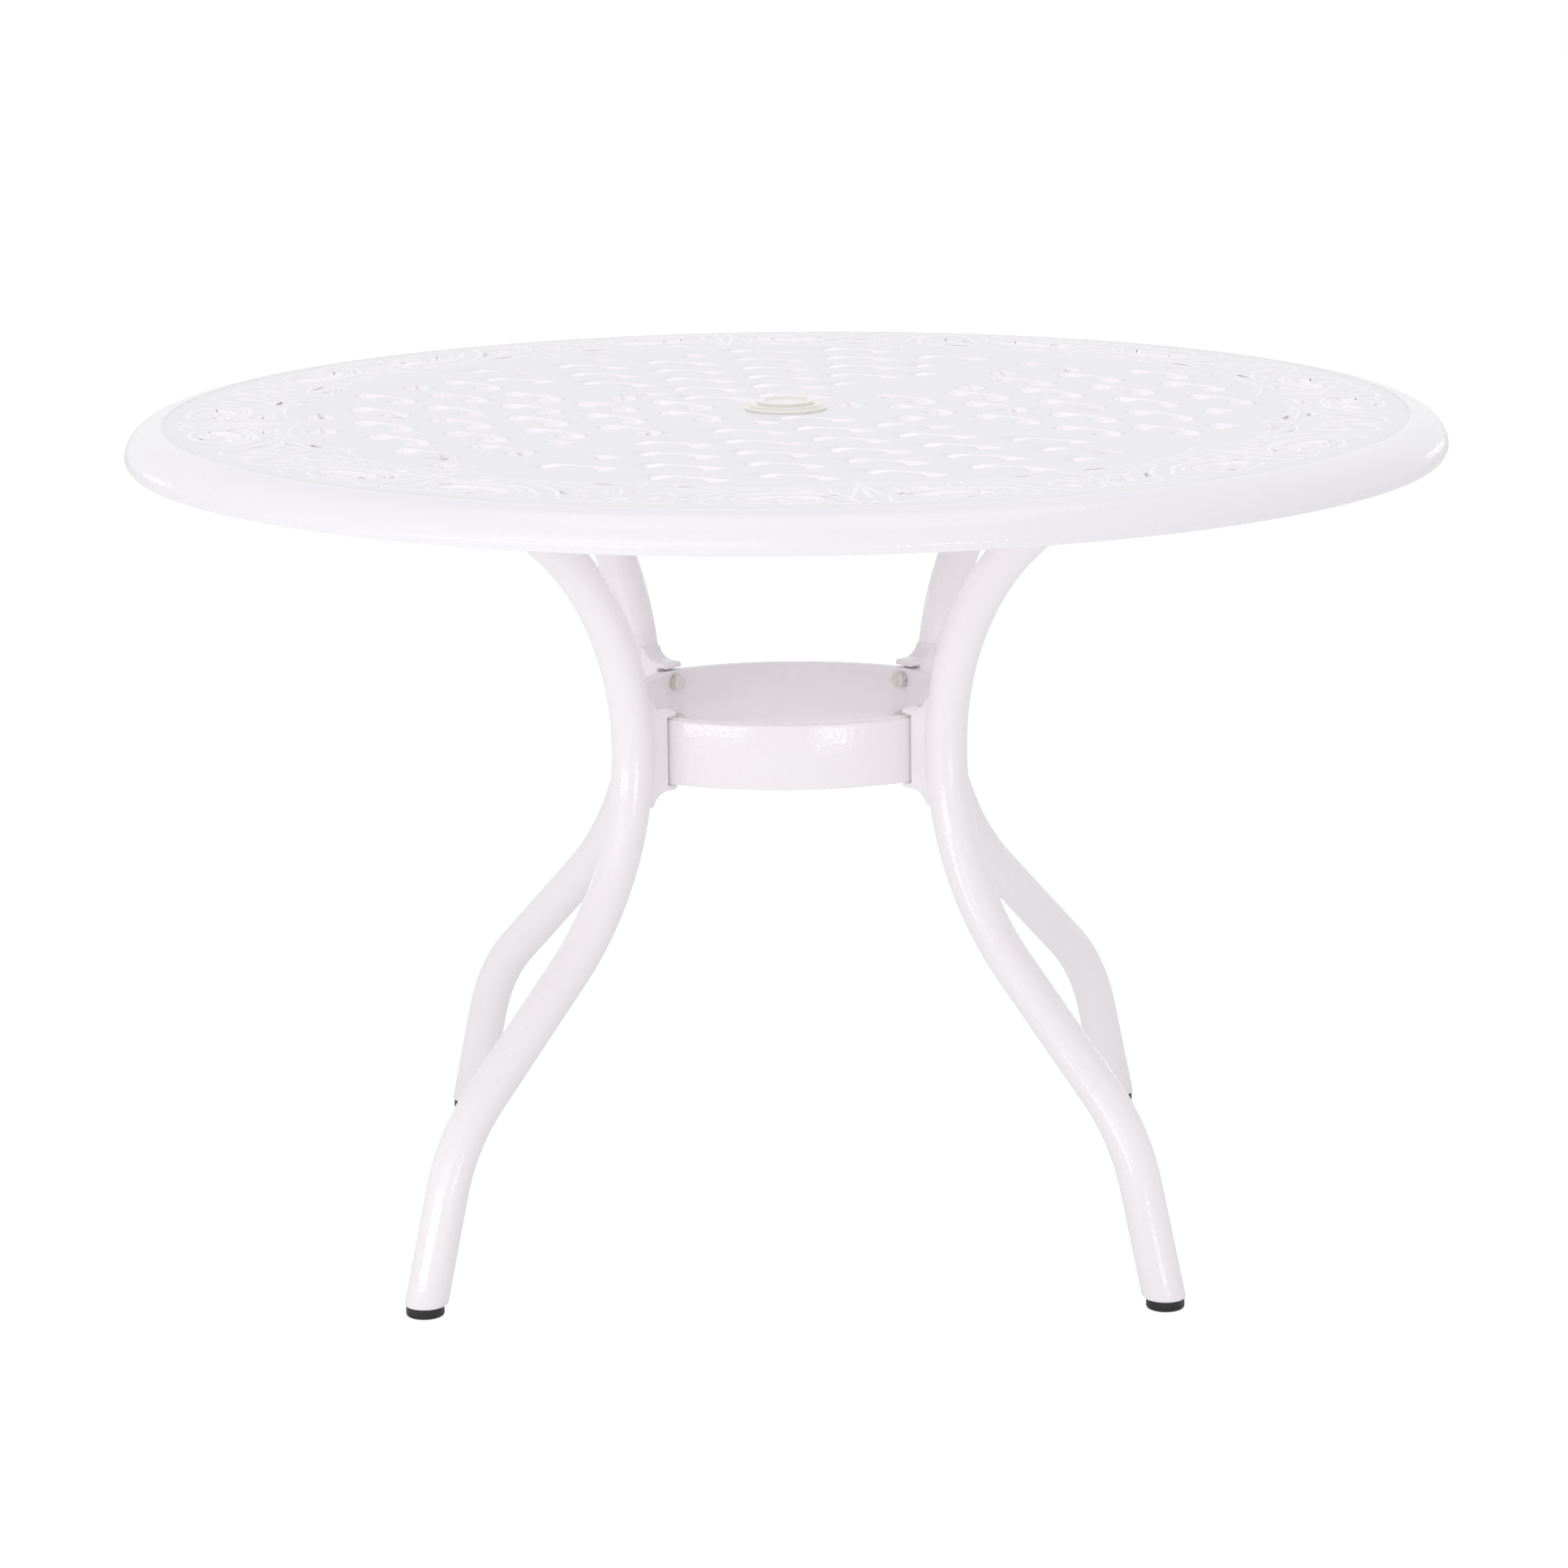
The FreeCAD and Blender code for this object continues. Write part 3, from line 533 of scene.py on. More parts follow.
def drafted(outline):
    # each point goes inwards by a share of the gap's width there, which is how far it can
    # look across before it meets an edge other than its own
    low = outline.copy()
    edges = np.roll(outline, -1, axis=0) - outline
    for index, (point, inward) in enumerate(zip(outline, inward_normals(outline))):
        cross = inward[0] * edges[:, 1] - inward[1] * edges[:, 0]
        cross = np.where(np.abs(cross) < 1e-9, 1e-9, cross)
        offset = outline - point
        reach = (offset[:, 0] * edges[:, 1] - offset[:, 1] * edges[:, 0]) / cross
        share = (offset[:, 0] * inward[1] - offset[:, 1] * inward[0]) / cross
        hits = reach[(reach > 0.5) & (share >= -1e-6) & (share <= 1 + 1e-6)]
        if len(hits):
            low[index] += inward * min(hits.min() * DRAFT_SHARE, MOST_DRAFT)
    return low


gap_outlines = [eased(rounded(gap, WEAVE_CUT)) for gap in weave_gaps]
gap_outlines += [rounded(gap, BORDER_CUT) for gap in border_gaps]
print("points of the outlines", sum(map(len, gap_outlines)))


# %% [markdown]
# Booleans could pierce a plain disc, but with so many gaps they are slow and leave slivers.
# Here the face of the panel is a constrained triangulation instead: the outlines and a fine
# grid of points go in, and the triangles that fall inside a gap are left out. The underside
# is another one, made from the outlines alone.

# %% Triangulation
GRID = 5.0
GRID_ROW = GRID * 0.866
EDGE_CLEAR = 1.6
PANEL_RADIUS = 565.0
HUB_BORE = 24.55


def circle_points(radius, count):
    angles = np.linspace(0, 2 * math.pi, count, endpoint=False)
    return np.column_stack([radius * np.cos(angles), radius * np.sin(angles)])


def grid_points():
    across = np.arange(-PANEL_RADIUS, PANEL_RADIUS, GRID)
    rows = np.arange(-PANEL_RADIUS, PANEL_RADIUS, GRID_ROW)
    x, y = np.meshgrid(across, rows)
    x = x + (np.arange(len(rows)) % 2)[:, None] * GRID / 2
    points = np.column_stack([x.ravel(), y.ravel()])
    distance = np.hypot(*points.T)
    keep = (distance < PANEL_RADIUS - EDGE_CLEAR) & (distance > HUB_BORE + EDGE_CLEAR)
    for outline in gap_outlines:
        low, high = outline.min(0) - EDGE_CLEAR, outline.max(0) + EDGE_CLEAR
        near = np.nonzero(keep & (points > low).all(1) & (points < high).all(1))[0]
        if len(near):
            keep[near] = ~near_outline(points[near], outline)
    return points[keep]


def near_outline(points, outline):
    starts, ends = outline, np.roll(outline, -1, axis=0)
    along = ends - starts
    offset = points[:, None] - starts[None]
    share = np.clip((offset * along).sum(2) / (along ** 2).sum(1), 0, 1)
    gap = np.hypot(*(offset - share[..., None] * along).transpose(2, 0, 1)).min(1)
    return (gap < EDGE_CLEAR) | inside_outline(points, outline)


def inside_outline(points, outline):
    inside = np.zeros(len(points), bool)
    for start, end in zip(outline, np.roll(outline, -1, axis=0)):
        spans = (start[1] > points[:, 1]) != (end[1] > points[:, 1])
        rise = end[1] - start[1] if end[1] != start[1] else 1e-9
        cross = start[0] + (points[:, 1] - start[1]) * (end[0] - start[0]) / rise
        inside ^= spans & (points[:, 0] < cross)
    return inside


def triangulate(loose, outlines):
    vertices, edges, owner = [], [], []
    for number, outline in enumerate(outlines):
        first = len(vertices)
        count = len(outline)
        vertices += [Vector(point) for point in outline]
        edges += [(first + i, first + (i + 1) % count) for i in range(count)]
        owner += [number] * count
    vertices += [Vector(point) for point in loose]
    owner += [-1] * len(loose)
    places, _, faces, origins, _, _ = delaunay_2d_cdt(vertices, edges, [], 0, 1e-6)
    owners = np.array([owner[origin[0]] if origin else -1 for origin in origins])
    places, faces = np.array([tuple(place) for place in places]), np.array(faces)
    corners = owners[faces]
    centres = places[faces].mean(1)
    drop = np.zeros(len(faces), bool)
    for number, outline in enumerate(outlines):
        chosen = np.nonzero((corners == number).all(1))[0]
        if number and len(chosen):
            drop[chosen] = inside_outline(centres[chosen], outline)
    return places, faces[~drop], owners


outlines = [circle_points(PANEL_RADIUS, 288), circle_points(HUB_BORE, 48)] + gap_outlines
face_places, face_triangles, face_owners = triangulate(grid_points(), outlines)
low_places, low_triangles, _ = triangulate(np.zeros((0, 2)), outlines)
print("triangles of the face", len(face_triangles), "and the underside", len(low_triangles))


# %% [markdown]
# The face gets its heights: a groove at the outer edge, a slight roll round each gap and the
# dives, where a strip sinks to go under the next. The open edges of the face and of the
# underside are then joined by the walls.

# %% Woven panel
EDGE_ROLL = 0.35
DIVE_DEPTH = 3.0
DIVE_OVERRUN = 1.12
DIVE_CURVE = 1.6
WALL_DEPTH = 6.5
LEDGE_REACH = 541.0
# a face that reaches lower than this, in millimetres below the face, gets the walls' painted
# light
WALL_LIGHT_BELOW = 3.5


def dive_depths(points):
    # a strip sinks along its dive, in a section that is round from side to side
    depths = np.zeros(len(points))
    for start, end, edge in weave_dives:
        start, end, edge = np.array(start), np.array(end), np.array(edge)
        run, half = end - start, edge - end
        share = (points - start) @ run / (run @ run)
        across = (points - start - share[:, None] * run) @ half / (half @ half)
        inside = (share > 0) & (share < DIVE_OVERRUN) & (np.abs(across) < 1)
        sink = np.clip(share, 0, 1) ** DIVE_CURVE * np.sqrt(np.clip(1 - across ** 2, 0, 1))
        depths = np.maximum(depths, np.where(inside, sink * DIVE_DEPTH, 0))
    return depths


def face_spots():
    heights = np.where(face_owners >= 2, -EDGE_ROLL, 0.0)
    heights[face_owners == 0] = -CREASE_DEPTH / MM
    return np.column_stack([face_places, heights - dive_depths(face_places)])


def low_spots():
    moved = {}
    for outline in gap_outlines:
        moved.update({tuple(np.round(a, 3)): b for a, b in zip(outline, drafted(outline))})
    spots = np.array([moved.get(tuple(np.round(place, 3)), place) for place in low_places])
    over_ledge = np.hypot(*low_places.T) > LEDGE_REACH
    return np.column_stack([spots, np.where(over_ledge, -PANEL_THICKNESS / MM, -WALL_DEPTH)])


def make_panel_mesh():
    mesh = bmesh.new()
    shift = Vector((0, 0, TOP_Z))
    upper = [mesh.verts.new(Vector(spot) * MM + shift) for spot in face_spots()]
    lower = [mesh.verts.new(Vector(spot) * MM + shift) for spot in low_spots()]
    for a, b, c in face_triangles:
        mesh.faces.new((upper[a], upper[b], upper[c]))
    for a, b, c in low_triangles:
        mesh.faces.new((lower[c], lower[b], lower[a]))
    below = {tuple(np.round(place, 4)): lower[i] for i, place in enumerate(low_places)}
    above = {vertex: tuple(np.round(face_places[i], 4)) for i, vertex in enumerate(upper)}
    for edge in [edge for edge in mesh.edges if edge.is_boundary and edge.verts[0] in above]:
        a, b = edge.verts
        if edge.link_loops[0].vert is not a:
            a, b = b, a
        mesh.faces.new((b, a, below[above[a]], below[above[b]]))
    bmesh.ops.recalc_face_normals(mesh, faces=mesh.faces)
    return mark_walls(finished(mesh, "woven_panel", 50))


def mark_walls(data):
    # the walls' painted light follows this mark: a wall reaches lower than any dive
    walls = data.attributes.new("gap_wall", "FLOAT", "FACE")
    limit = TOP_Z - WALL_LIGHT_BELOW * MM
    lowest = [min(data.vertices[i].co.z for i in face.vertices) for face in data.polygons]
    walls.data.foreach_set("value", [float(low < limit) for low in lowest])
    return data


panel = make_panel_mesh()
as_piece("woven_panel", panel, top_coat_painted_shade, "table", "white_powder_coat", "table_panel")
print("panel triangles", sum(len(face.vertices) - 2 for face in panel.polygons))


# %% [markdown]
# The ribs, the hub and the leg bosses hang under the panel, where little light falls. The
# frame's panel already has them, so nothing is drawn again: their faces are copied from it,
# without the flat sheet above.

# %% Ribs, hub and bosses
def make_underside_mesh():
    mesh = bmesh.new()
    mesh.from_mesh(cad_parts["table_panel"].data)
    bmesh.ops.remove_doubles(mesh, verts=mesh.verts, dist=1e-6)
    limit = TOP_Z - PANEL_THICKNESS - 0.2 * MM
    spare = [face for face in mesh.faces if min(vertex.co.z for vertex in face.verts) > limit]
    bmesh.ops.delete(mesh, geom=spare, context="FACES")
    return finished(mesh, "panel_ribs", 30)


ribs = make_underside_mesh()
as_piece("panel_ribs", ribs, rim_coat_painted_light, "table", "white_powder_coat")
print("rib faces", len(ribs.polygons))


# %% [markdown]
# The border between the weave and the flat margin is a band of cast scrolls. One unit is an
# eighth of the band: a pair of large volutes, a pair of small ones, leaves between them and
# a scalloped edge. It could be sculpted, but bevelled curves give the even, tapered beads of
# the casting. It is drawn flat, as strokes in millimetres along and out from the band, then
# bent round the table, and a Geometry Nodes tree repeats it.

# %% Strokes of one border unit
BAND_RADIUS = 520.0
BAND_INNER = 438.0
SCALLOP_RISE = 22.0
STROKE_SCALE = 0.9
STROKE_FLATTENING = 0.42
STROKE_SINK = 0.35
HALF_UNIT = math.radians(UNIT_ANGLE / 2) * BAND_RADIUS
VOLUTE_PLACE = (math.radians(VOLUTE[0]) * BAND_RADIUS, VOLUTE[1])


def spiral(centre, size, end_share, start, turns, steps=34):
    points = []
    for share in np.linspace(0, 1, steps):
        scale = 1 + (end_share - 1) * share
        angle = start + 360 * turns * share
        points += arc(centre, (size[0] * scale, size[1] * scale), angle, angle, 1)
    return points


def bow(start, middle, end, steps=12):
    start, middle, end = np.array(start), np.array(middle), np.array(end)
    return [tuple((1 - t) ** 2 * start + 2 * t * (1 - t) * middle + t ** 2 * end)
            for t in np.linspace(0, 1, steps)]


def scallop(start, end, rise, steps=26):
    return [(start[0] + (end[0] - start[0]) * t, start[1] + rise * math.sin(math.pi * t) ** 0.8)
            for t in np.linspace(0, 1, steps)]


# each stroke: its points, its half width and how it tapers at its start and its end
vx, vr = VOLUTE_PLACE
HALF_STROKES = [
    (arc((vx, vr - 1), (54, 30), 158, 395), 3.0, 0.5, 0.3),
    (arc((vx, vr), (44, 25.5), 165, 385), 2.4, 0.3, 0.3),
    (spiral((vx - 4, vr + 6), (17, 11), 0.3, 20, 1.3), 2.6, 0.8, 0.7),
    (bow((vx - 38, 530), (vx - 26, 547), (vx + 2, 545)), 2.6, 0.5, 0.9),
    (bow((vx + 2, 545), (vx + 34, 546), (vx + 40, 522)), 2.8, 0.9, 0.5),
    (bow((0, 450), (8, 484), (13, 512)), 2.8, 0.6, 0.6),
    (bow((13, 512), (18, 532), (10, 548)), 2.8, 0.6, 0.9),
    (bow((10, 548), (24, 552), (40, 541)), 2.4, 0.9, 0.4),
    (bow((18, 478), (22, 492), (44, 494)), 2.4, 0.3, 0.8),
    (bow((32, 462), (54, 470), (76, 464)), 2.4, 0.4, 0.5),
    (bow((30, 470), (26, 486), (34, 494)), 2.2, 0.8, 0.3),
    (bow((76, 464), (84, 478), (74, 490)), 2.2, 0.5, 0.3),
    (bow((vx + 16, 486), (118, 496), (136, 528)), 2.6, 0.3, 0.9),
    (bow((136, 528), (140, 546), (120, 548)), 2.4, 0.9, 0.4),
    (bow((106, 478), (140, 492), (152, 526)), 2.6, 0.4, 0.9),
    (bow((152, 526), (158, 548), (182, 546)), 2.6, 0.9, 0.9),
    (bow((182, 546), (202, 540), (199, 514)), 2.6, 0.9, 0.4),
    (arc((175, 515), (15, 22), 160, 350, 22), 2.4, 0.4, 0.6),
    (bow((130, 478), (160, 490), (166, 500)), 2.2, 0.4, 0.6),
    (bow((186, 470), (198, 488), (199, 514)), 2.4, 0.4, 0.8),
    (bow((112, 470), (150, 488), (186, 470)), 2.4, 0.4, 0.5),
    (bow((120, 466), (150, 464), (186, 466)), 2.0, 0.3, 0.4),
    (arc((math.radians(11.3) * BAND_RADIUS, 468), (9, 7), 0, 350, 20), 2.0, 0.8, 0.8),
    (scallop((0, BAND_INNER), (HALF_UNIT, BAND_INNER), SCALLOP_RISE), 1.6, 1.0, 1.0),
]
MIDDLE_STROKES = [
    (bow((0, 470), (0, 500), (0, 526)), 3.2, 0.4, 0.6),
    (bow((0, 536), (0, 544), (0, 552)), 3.0, 0.5, 0.9),
    (bow((HALF_UNIT, 442), (HALF_UNIT, 456), (HALF_UNIT, 470)), 2.8, 0.9, 0.6),
    (bow((HALF_UNIT, 516), (HALF_UNIT, 530), (HALF_UNIT, 548)), 3.0, 0.5, 0.7),
]


def band_place(along, out):
    angle = along / BAND_RADIUS
    return out * math.cos(angle) * MM, out * math.sin(angle) * MM


def stroke_mesh(strokes):
    curve = bpy.data.curves.new("scroll_strokes", "CURVE")
    curve.dimensions = "3D"
    curve.bevel_depth = 1.0 * MM
    curve.bevel_resolution = 2
    curve.use_fill_caps = True
    for points, half_width, start, end in strokes:
        spline = curve.splines.new("POLY")
        spline.points.add(len(points) - 1)
        for index, (along, out) in enumerate(points):
            share = index / (len(points) - 1)
            tip, away = (start, share) if share < 0.5 else (end, 1 - share)
            taper = tip + (1 - tip) * min(1, away * 4)
            spline.points[index].co = (*band_place(along, out), 0, 1)
            spline.points[index].radius = STROKE_SCALE * half_width * taper
    piece = bpy.data.objects.new("scroll_strokes", curve)
    mesh = bpy.data.meshes.new_from_object(piece)
    bpy.data.objects.remove(piece)
    return mesh


mirrored = [([(-along, out) for along, out in points], *rest) for points, *rest in HALF_STROKES]
unit_mesh = stroke_mesh(HALF_STROKES + mirrored + MIDDLE_STROKES)
unit_mesh.transform(Matrix.Diagonal((1, 1, STROKE_FLATTENING, 1)))
print("strokes", len(mirrored) * 2 + len(MIDDLE_STROKES), "faces", len(unit_mesh.polygons))


# %% [markdown]
# The Geometry Nodes tree sets a copy of a unit on each of so many points, turns each copy by
# an even step round the upright axis, and gives them all one material. A loop could place
# the copies too, but the tree keeps the count and the first angle as inputs.

# %% Repeat round the axis
def round_array_tree(name, count, first, material):
    tree, start, end = new_tree(
        "GeometryNodeTree", name,
        [("Geometry", "Geometry", None), ("Count", "Int", count),
         ("First angle", "Float", first)],
        [("Geometry", "Geometry")])
    nodes = tree.nodes
    points = nodes.new("GeometryNodePoints")
    index = nodes.new("GeometryNodeInputIndex")
    step = nodes.new("ShaderNodeMath")
    step.operation = "DIVIDE"
    step.inputs[0].default_value = 2 * math.pi
    angle = nodes.new("ShaderNodeMath")
    angle.operation = "MULTIPLY_ADD"
    turn = nodes.new("ShaderNodeCombineXYZ")
    place = nodes.new("GeometryNodeInstanceOnPoints")
    real = nodes.new("GeometryNodeRealizeInstances")
    paint = put(nodes.new("GeometryNodeSetMaterial"), Material=material)
    wire(start, "Count", points, "Count")
    wire(start, "Count", step, 1)
    wire(index, "Index", angle, 0)
    wire(step, "Value", angle, 1)
    wire(start, "First angle", angle, 2)
    wire(angle, "Value", turn, "Z")
    wire(points, "Points", place, "Points")
    wire(start, "Geometry", place, "Instance")
    wire(turn, "Vector", place, "Rotation")
    wire(place, "Instances", real, "Geometry")
    wire(real, "Geometry", paint, "Geometry")
    wire(paint, "Geometry", end, "Geometry")
    return tree


def repeated_mesh(name, unit, count, first_angle, material):
    holder = bpy.data.objects.new(name + "_unit", unit)
    bpy.context.collection.objects.link(holder)
    modifier = holder.modifiers.new("round", "NODES")
    first = math.radians(first_angle)
    modifier.node_group = round_array_tree(name + "_round", count, first, material)
    bpy.context.view_layer.update()
    graph = bpy.context.evaluated_depsgraph_get()
    mesh = bpy.data.meshes.new_from_object(holder.evaluated_get(graph))
    bpy.data.objects.remove(holder)
    mesh.name = name
    return mesh


unit_mesh.transform(Matrix.Translation((0, 0, TOP_Z - STROKE_SINK * MM)))
scroll_mesh = repeated_mesh("scroll_border", unit_mesh, BORDER_UNITS, BORDER_TURN, edge_coat_painted_light)
scroll_mesh.shade_smooth()
as_piece("scroll_border", scroll_mesh, edge_coat_painted_light, "table", "white_powder_coat")
print("scroll triangles", sum(len(face.vertices) - 2 for face in scroll_mesh.polygons))


# %% [markdown]
# Each leg is one tube, bent in its own upright plane. Its line is the bender's drawing:
# straight runs and arcs, given by their leans and radii. A round section is carried along
# that line, and the lower end turns in to a small rounded lip over the glide. A bevelled
# curve would end square to the tube, but these ends are cut level.

# %% Leg tubes
TUBE_RADIUS = 19 * MM
TUBE_WALL = 5 * MM
FOOT_REACH = 461.6 * MM
FOOT_LEAN = 16.0
FOOT_LIP = 2.5 * MM
# each run: its kind, its length or radius, and the lean that it ends with
BENDS = [
    ("straight", 109.8 * MM, FOOT_LEAN), ("bend", 165.4 * MM, 47.2),
    ("straight", 139.6 * MM, 47.2), ("bend", 260.2 * MM, 0.0),
    ("bend", 255.3 * MM, -51.4), ("straight", 130.0 * MM, -51.4),
]
PLATE_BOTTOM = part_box("top_plate_front_left")[0][2]
GLIDE_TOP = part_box("leg_tube_front_left")[0][2]


def leg_line():
    reach, height, lean = FOOT_REACH, 0.0, FOOT_LEAN
    line = []
    for kind, size, lean_to in BENDS:
        start, end = math.radians(lean), math.radians(lean_to)
        if kind == "straight":
            for share in np.linspace(0, 1, 14)[:-1]:
                line.append((reach - math.sin(start) * size * share,
                             height + math.cos(start) * size * share, lean))
            reach -= math.sin(start) * size
            height += math.cos(start) * size
            continue
        radius = size if lean_to > lean else -size
        for here in np.linspace(lean, lean_to, 26)[:-1]:
            angle = math.radians(here)
            line.append((reach + radius * (math.cos(angle) - math.cos(start)),
                         height + radius * (math.sin(angle) - math.sin(start)), here))
        reach += radius * (math.cos(end) - math.cos(start))
        height += radius * (math.sin(end) - math.sin(start))
        lean = lean_to
    line.append((reach, height, lean))
    return line


def join_rings(mesh, rings):
    for here, after in zip(rings[:-1], rings[1:]):
        for step in range(len(here)):
            following = (step + 1) % len(here)
            mesh.faces.new((here[step], here[following], after[following], after[step]))
    mesh.faces.new(rings[0][::-1])
    mesh.faces.new(rings[-1])
    bmesh.ops.recalc_face_normals(mesh, faces=mesh.faces)


def tube_ring(mesh, station, radius, height=None, segments=48):
    # height, if given, is a level plane that cuts the tube's end
    reach, level, lean = station
    tilt = math.radians(lean)
    along = Vector((-math.sin(tilt), 0, math.cos(tilt)))
    side = Vector((math.cos(tilt), 0, math.sin(tilt)))
    ring = []
    for step in range(segments):
        angle = 2 * math.pi * step / segments
        point = Vector((reach, 0, level)) + side * radius * math.cos(angle)
        point.y += radius * math.sin(angle)
        if height is not None:
            point += along * ((height - point.z) / along.z)
        ring.append(mesh.verts.new(point))
    return ring


def make_leg_mesh(name, turn):
    mesh = bmesh.new()
    line = leg_line()
    # the level cuts at both ends take the place of the rings near them
    clear = TUBE_RADIUS * 0.9
    body = [s for s in line if GLIDE_TOP + clear < s[1] < PLATE_BOTTOM - clear]
    foot, head = line[0], line[-1]
    bore = TUBE_RADIUS - TUBE_WALL
    rings = [tube_ring(mesh, foot, bore, GLIDE_TOP + 6 * MM)]
    rings.append(tube_ring(mesh, foot, bore, GLIDE_TOP))
    lip = soft_corner(TUBE_RADIUS - FOOT_LIP, GLIDE_TOP + FOOT_LIP, FOOT_LIP, -90, 0, 6)
    rings += [tube_ring(mesh, foot, radius, height) for radius, height in lip]
    rings += [tube_ring(mesh, station, TUBE_RADIUS) for station in body]
    rings.append(tube_ring(mesh, head, TUBE_RADIUS, PLATE_BOTTOM))
    rings.append(tube_ring(mesh, head, bore, PLATE_BOTTOM))
    join_rings(mesh, rings)
    mesh.transform(Matrix.Rotation(math.radians(turn), 4, "Z"))
    return finished(mesh, name, 45)


for leg, turn in LEG_TURNS.items():
    tube = make_leg_mesh("leg_tube_" + leg, turn)
    as_piece("tube_" + leg, tube, leg_coat_painted_light, "table", "white_powder_coat", "leg_tube_" + leg)
print("tube faces", len(tube.polygons))


# %% [markdown]
# The stretcher ring is an upright band whose edges are softened by the coating. From leg to
# leg it runs in an arc that is a little flatter than a full circle. It is turned round like
# the rim, and then its points slide in towards the axis.

# %% Stretcher ring
ring_low, ring_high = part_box("stretcher_ring")
RING_OUTER = 165 * MM
RING_INNER = 153 * MM
# in the photograph the band sits a little higher than in the frame
RING_BOTTOM = ring_low[2] + 5 * MM
RING_TOP = ring_high[2] + 6 * MM
SIDE_ARC = 210 * MM
SIDE_ARC_SHIFT = 58 * MM


def ring_profile():
    soft, fine = 3.0 * MM, 1.5 * MM
    profile = soft_corner(RING_OUTER - soft, RING_TOP - soft, soft, 90, 0, 7)
    profile += soft_corner(RING_OUTER - fine, RING_BOTTOM + fine, fine, 0, -90, 5)
    profile += soft_corner(RING_INNER + fine, RING_BOTTOM + fine, fine, 270, 180, 5)
    profile += soft_corner(RING_INNER + fine, RING_TOP - fine, fine, 180, 90, 5)
    return profile


def flatten_sides(mesh):
    # the flatter arcs have their centres off the axis, away from the side they make
    for vertex in mesh.vertices:
        x, y, _ = vertex.co
        turn = math.atan2(y, x)
        from_side = turn - math.radians(90) * round(turn / math.radians(90))
        reach = math.sqrt(SIDE_ARC ** 2 - (SIDE_ARC_SHIFT * math.sin(from_side)) ** 2)
        share = (reach - SIDE_ARC_SHIFT * math.cos(from_side)) / RING_OUTER
        vertex.co.x, vertex.co.y = x * share, y * share


band = turned_mesh("stretcher_ring", ring_profile(), 192)
flatten_sides(band)
as_piece("ring_band", band, leg_coat_painted_light, "table", "white_powder_coat", "stretcher_ring")
print("ring faces", len(band.polygons))


# %% [markdown]
# A bracket reaches round the ring from each leg: a web with a lip below and a lip above. It
# could be joined from blocks, but one cut profile keeps the fillets, and a bevel rounds its
# edges.

# %% Brackets
BRACKET_WIDTH = 23 * MM
BRACKET_LIP = 5.5 * MM
LIP_REACH = 11 * MM
LIP_GAP = 2 * MM
WAIST = 199 * MM
FILLET = 14 * MM


def bracket_profile():
    nose = RING_OUTER - LIP_REACH
    low = RING_BOTTOM - BRACKET_LIP
    under = RING_TOP + LIP_GAP
    high = under + BRACKET_LIP
    heel = WAIST - TUBE_RADIUS - FILLET
    root = WAIST - TUBE_RADIUS + 3 * MM
    sweep = (root - heel, FILLET)
    soft = 3 * MM
    points = soft_corner(nose + soft, low + soft, soft, 180, 270, 5)
    points += arc((heel, low - FILLET), sweep, 90, 10, 7)
    points += [(WAIST, low - FILLET), (WAIST, high + FILLET)]
    points += arc((heel, high + FILLET), sweep, -10, -90, 7)
    points += soft_corner(nose + soft, high - soft, soft, 90, 180, 5)
    points += [(nose, under), (RING_OUTER, under)]
    return points + [(RING_OUTER, RING_BOTTOM), (nose, RING_BOTTOM)]


def make_bracket_mesh(name, turn):
    mesh = bmesh.new()
    half = BRACKET_WIDTH / 2
    join_rings(mesh, [[mesh.verts.new((r, y, z)) for r, z in bracket_profile()]
                      for y in (-half, half)])
    edges = [edge for edge in mesh.edges if edge.verts[0].co.y * edge.verts[1].co.y > 0]
    bmesh.ops.bevel(mesh, geom=edges, offset=2.0 * MM, segments=3, affect="EDGES", profile=0.5)
    mesh.transform(Matrix.Rotation(math.radians(turn), 4, "Z"))
    return finished(mesh, name, 40)


for leg, turn in LEG_TURNS.items():
    name = "bracket_" + leg
    bracket = make_bracket_mesh(name, turn)
    as_piece(name, bracket, leg_coat_painted_light, "table", "white_powder_coat", "ring_" + name)
print("bracket faces", len(bracket.polygons))


# %% [markdown]
# The bolts sit in a vertical pair inside the ring at each leg. One bolt stack, with a hex
# head, a lock washer drawn as a plain ring and a flat washer, is made along X, and the same
# kind of Geometry Nodes tree that repeats the border sets it round the ring.

# %% Ring bolts
BOLT_HEAD = 13 * MM
HEAD_HEIGHT = 5.3 * MM
BOLT_RADIUS = 4 * MM
BOLT_LENGTH = 24 * MM
BOLT_SPREAD = 38 * MM
LOCK_RADIUS = 6.8 * MM
WASHER_RADIUS = 8 * MM
WASHER = 1.6 * MM
LOCK_WASHER = 2.0 * MM
STACK = WASHER + LOCK_WASHER
SEAT = math.sqrt(RING_INNER ** 2 - WASHER_RADIUS ** 2)


def barrel(profile, sides):
    # profile pairs are radius and distance along +X
    mesh = bmesh.new()
    angles = [2 * math.pi * side / sides for side in range(sides)]
    join_rings(mesh, [[mesh.verts.new((along, radius * math.cos(a), radius * math.sin(a)))
                       for a in angles] for radius, along in profile])
    return mesh


def hex_head(start):
    radius, end = BOLT_HEAD / math.sqrt(3), start + HEAD_HEIGHT
    mesh = barrel([(radius, start), (radius, end - 1.2 * MM), (radius * 0.86, end)], 6)
    bmesh.ops.bevel(mesh, geom=list(mesh.edges), offset=0.35 * MM, segments=2, affect="EDGES")
    return finished(mesh, "hex_head", 30)


def round_disc(radius, start, end, soft=0.25 * MM):
    face = radius - soft
    profile = [(face, start), (radius, start + soft), (radius, end - soft), (face, end)]
    return finished(barrel(profile, 32), "round_disc", 30)


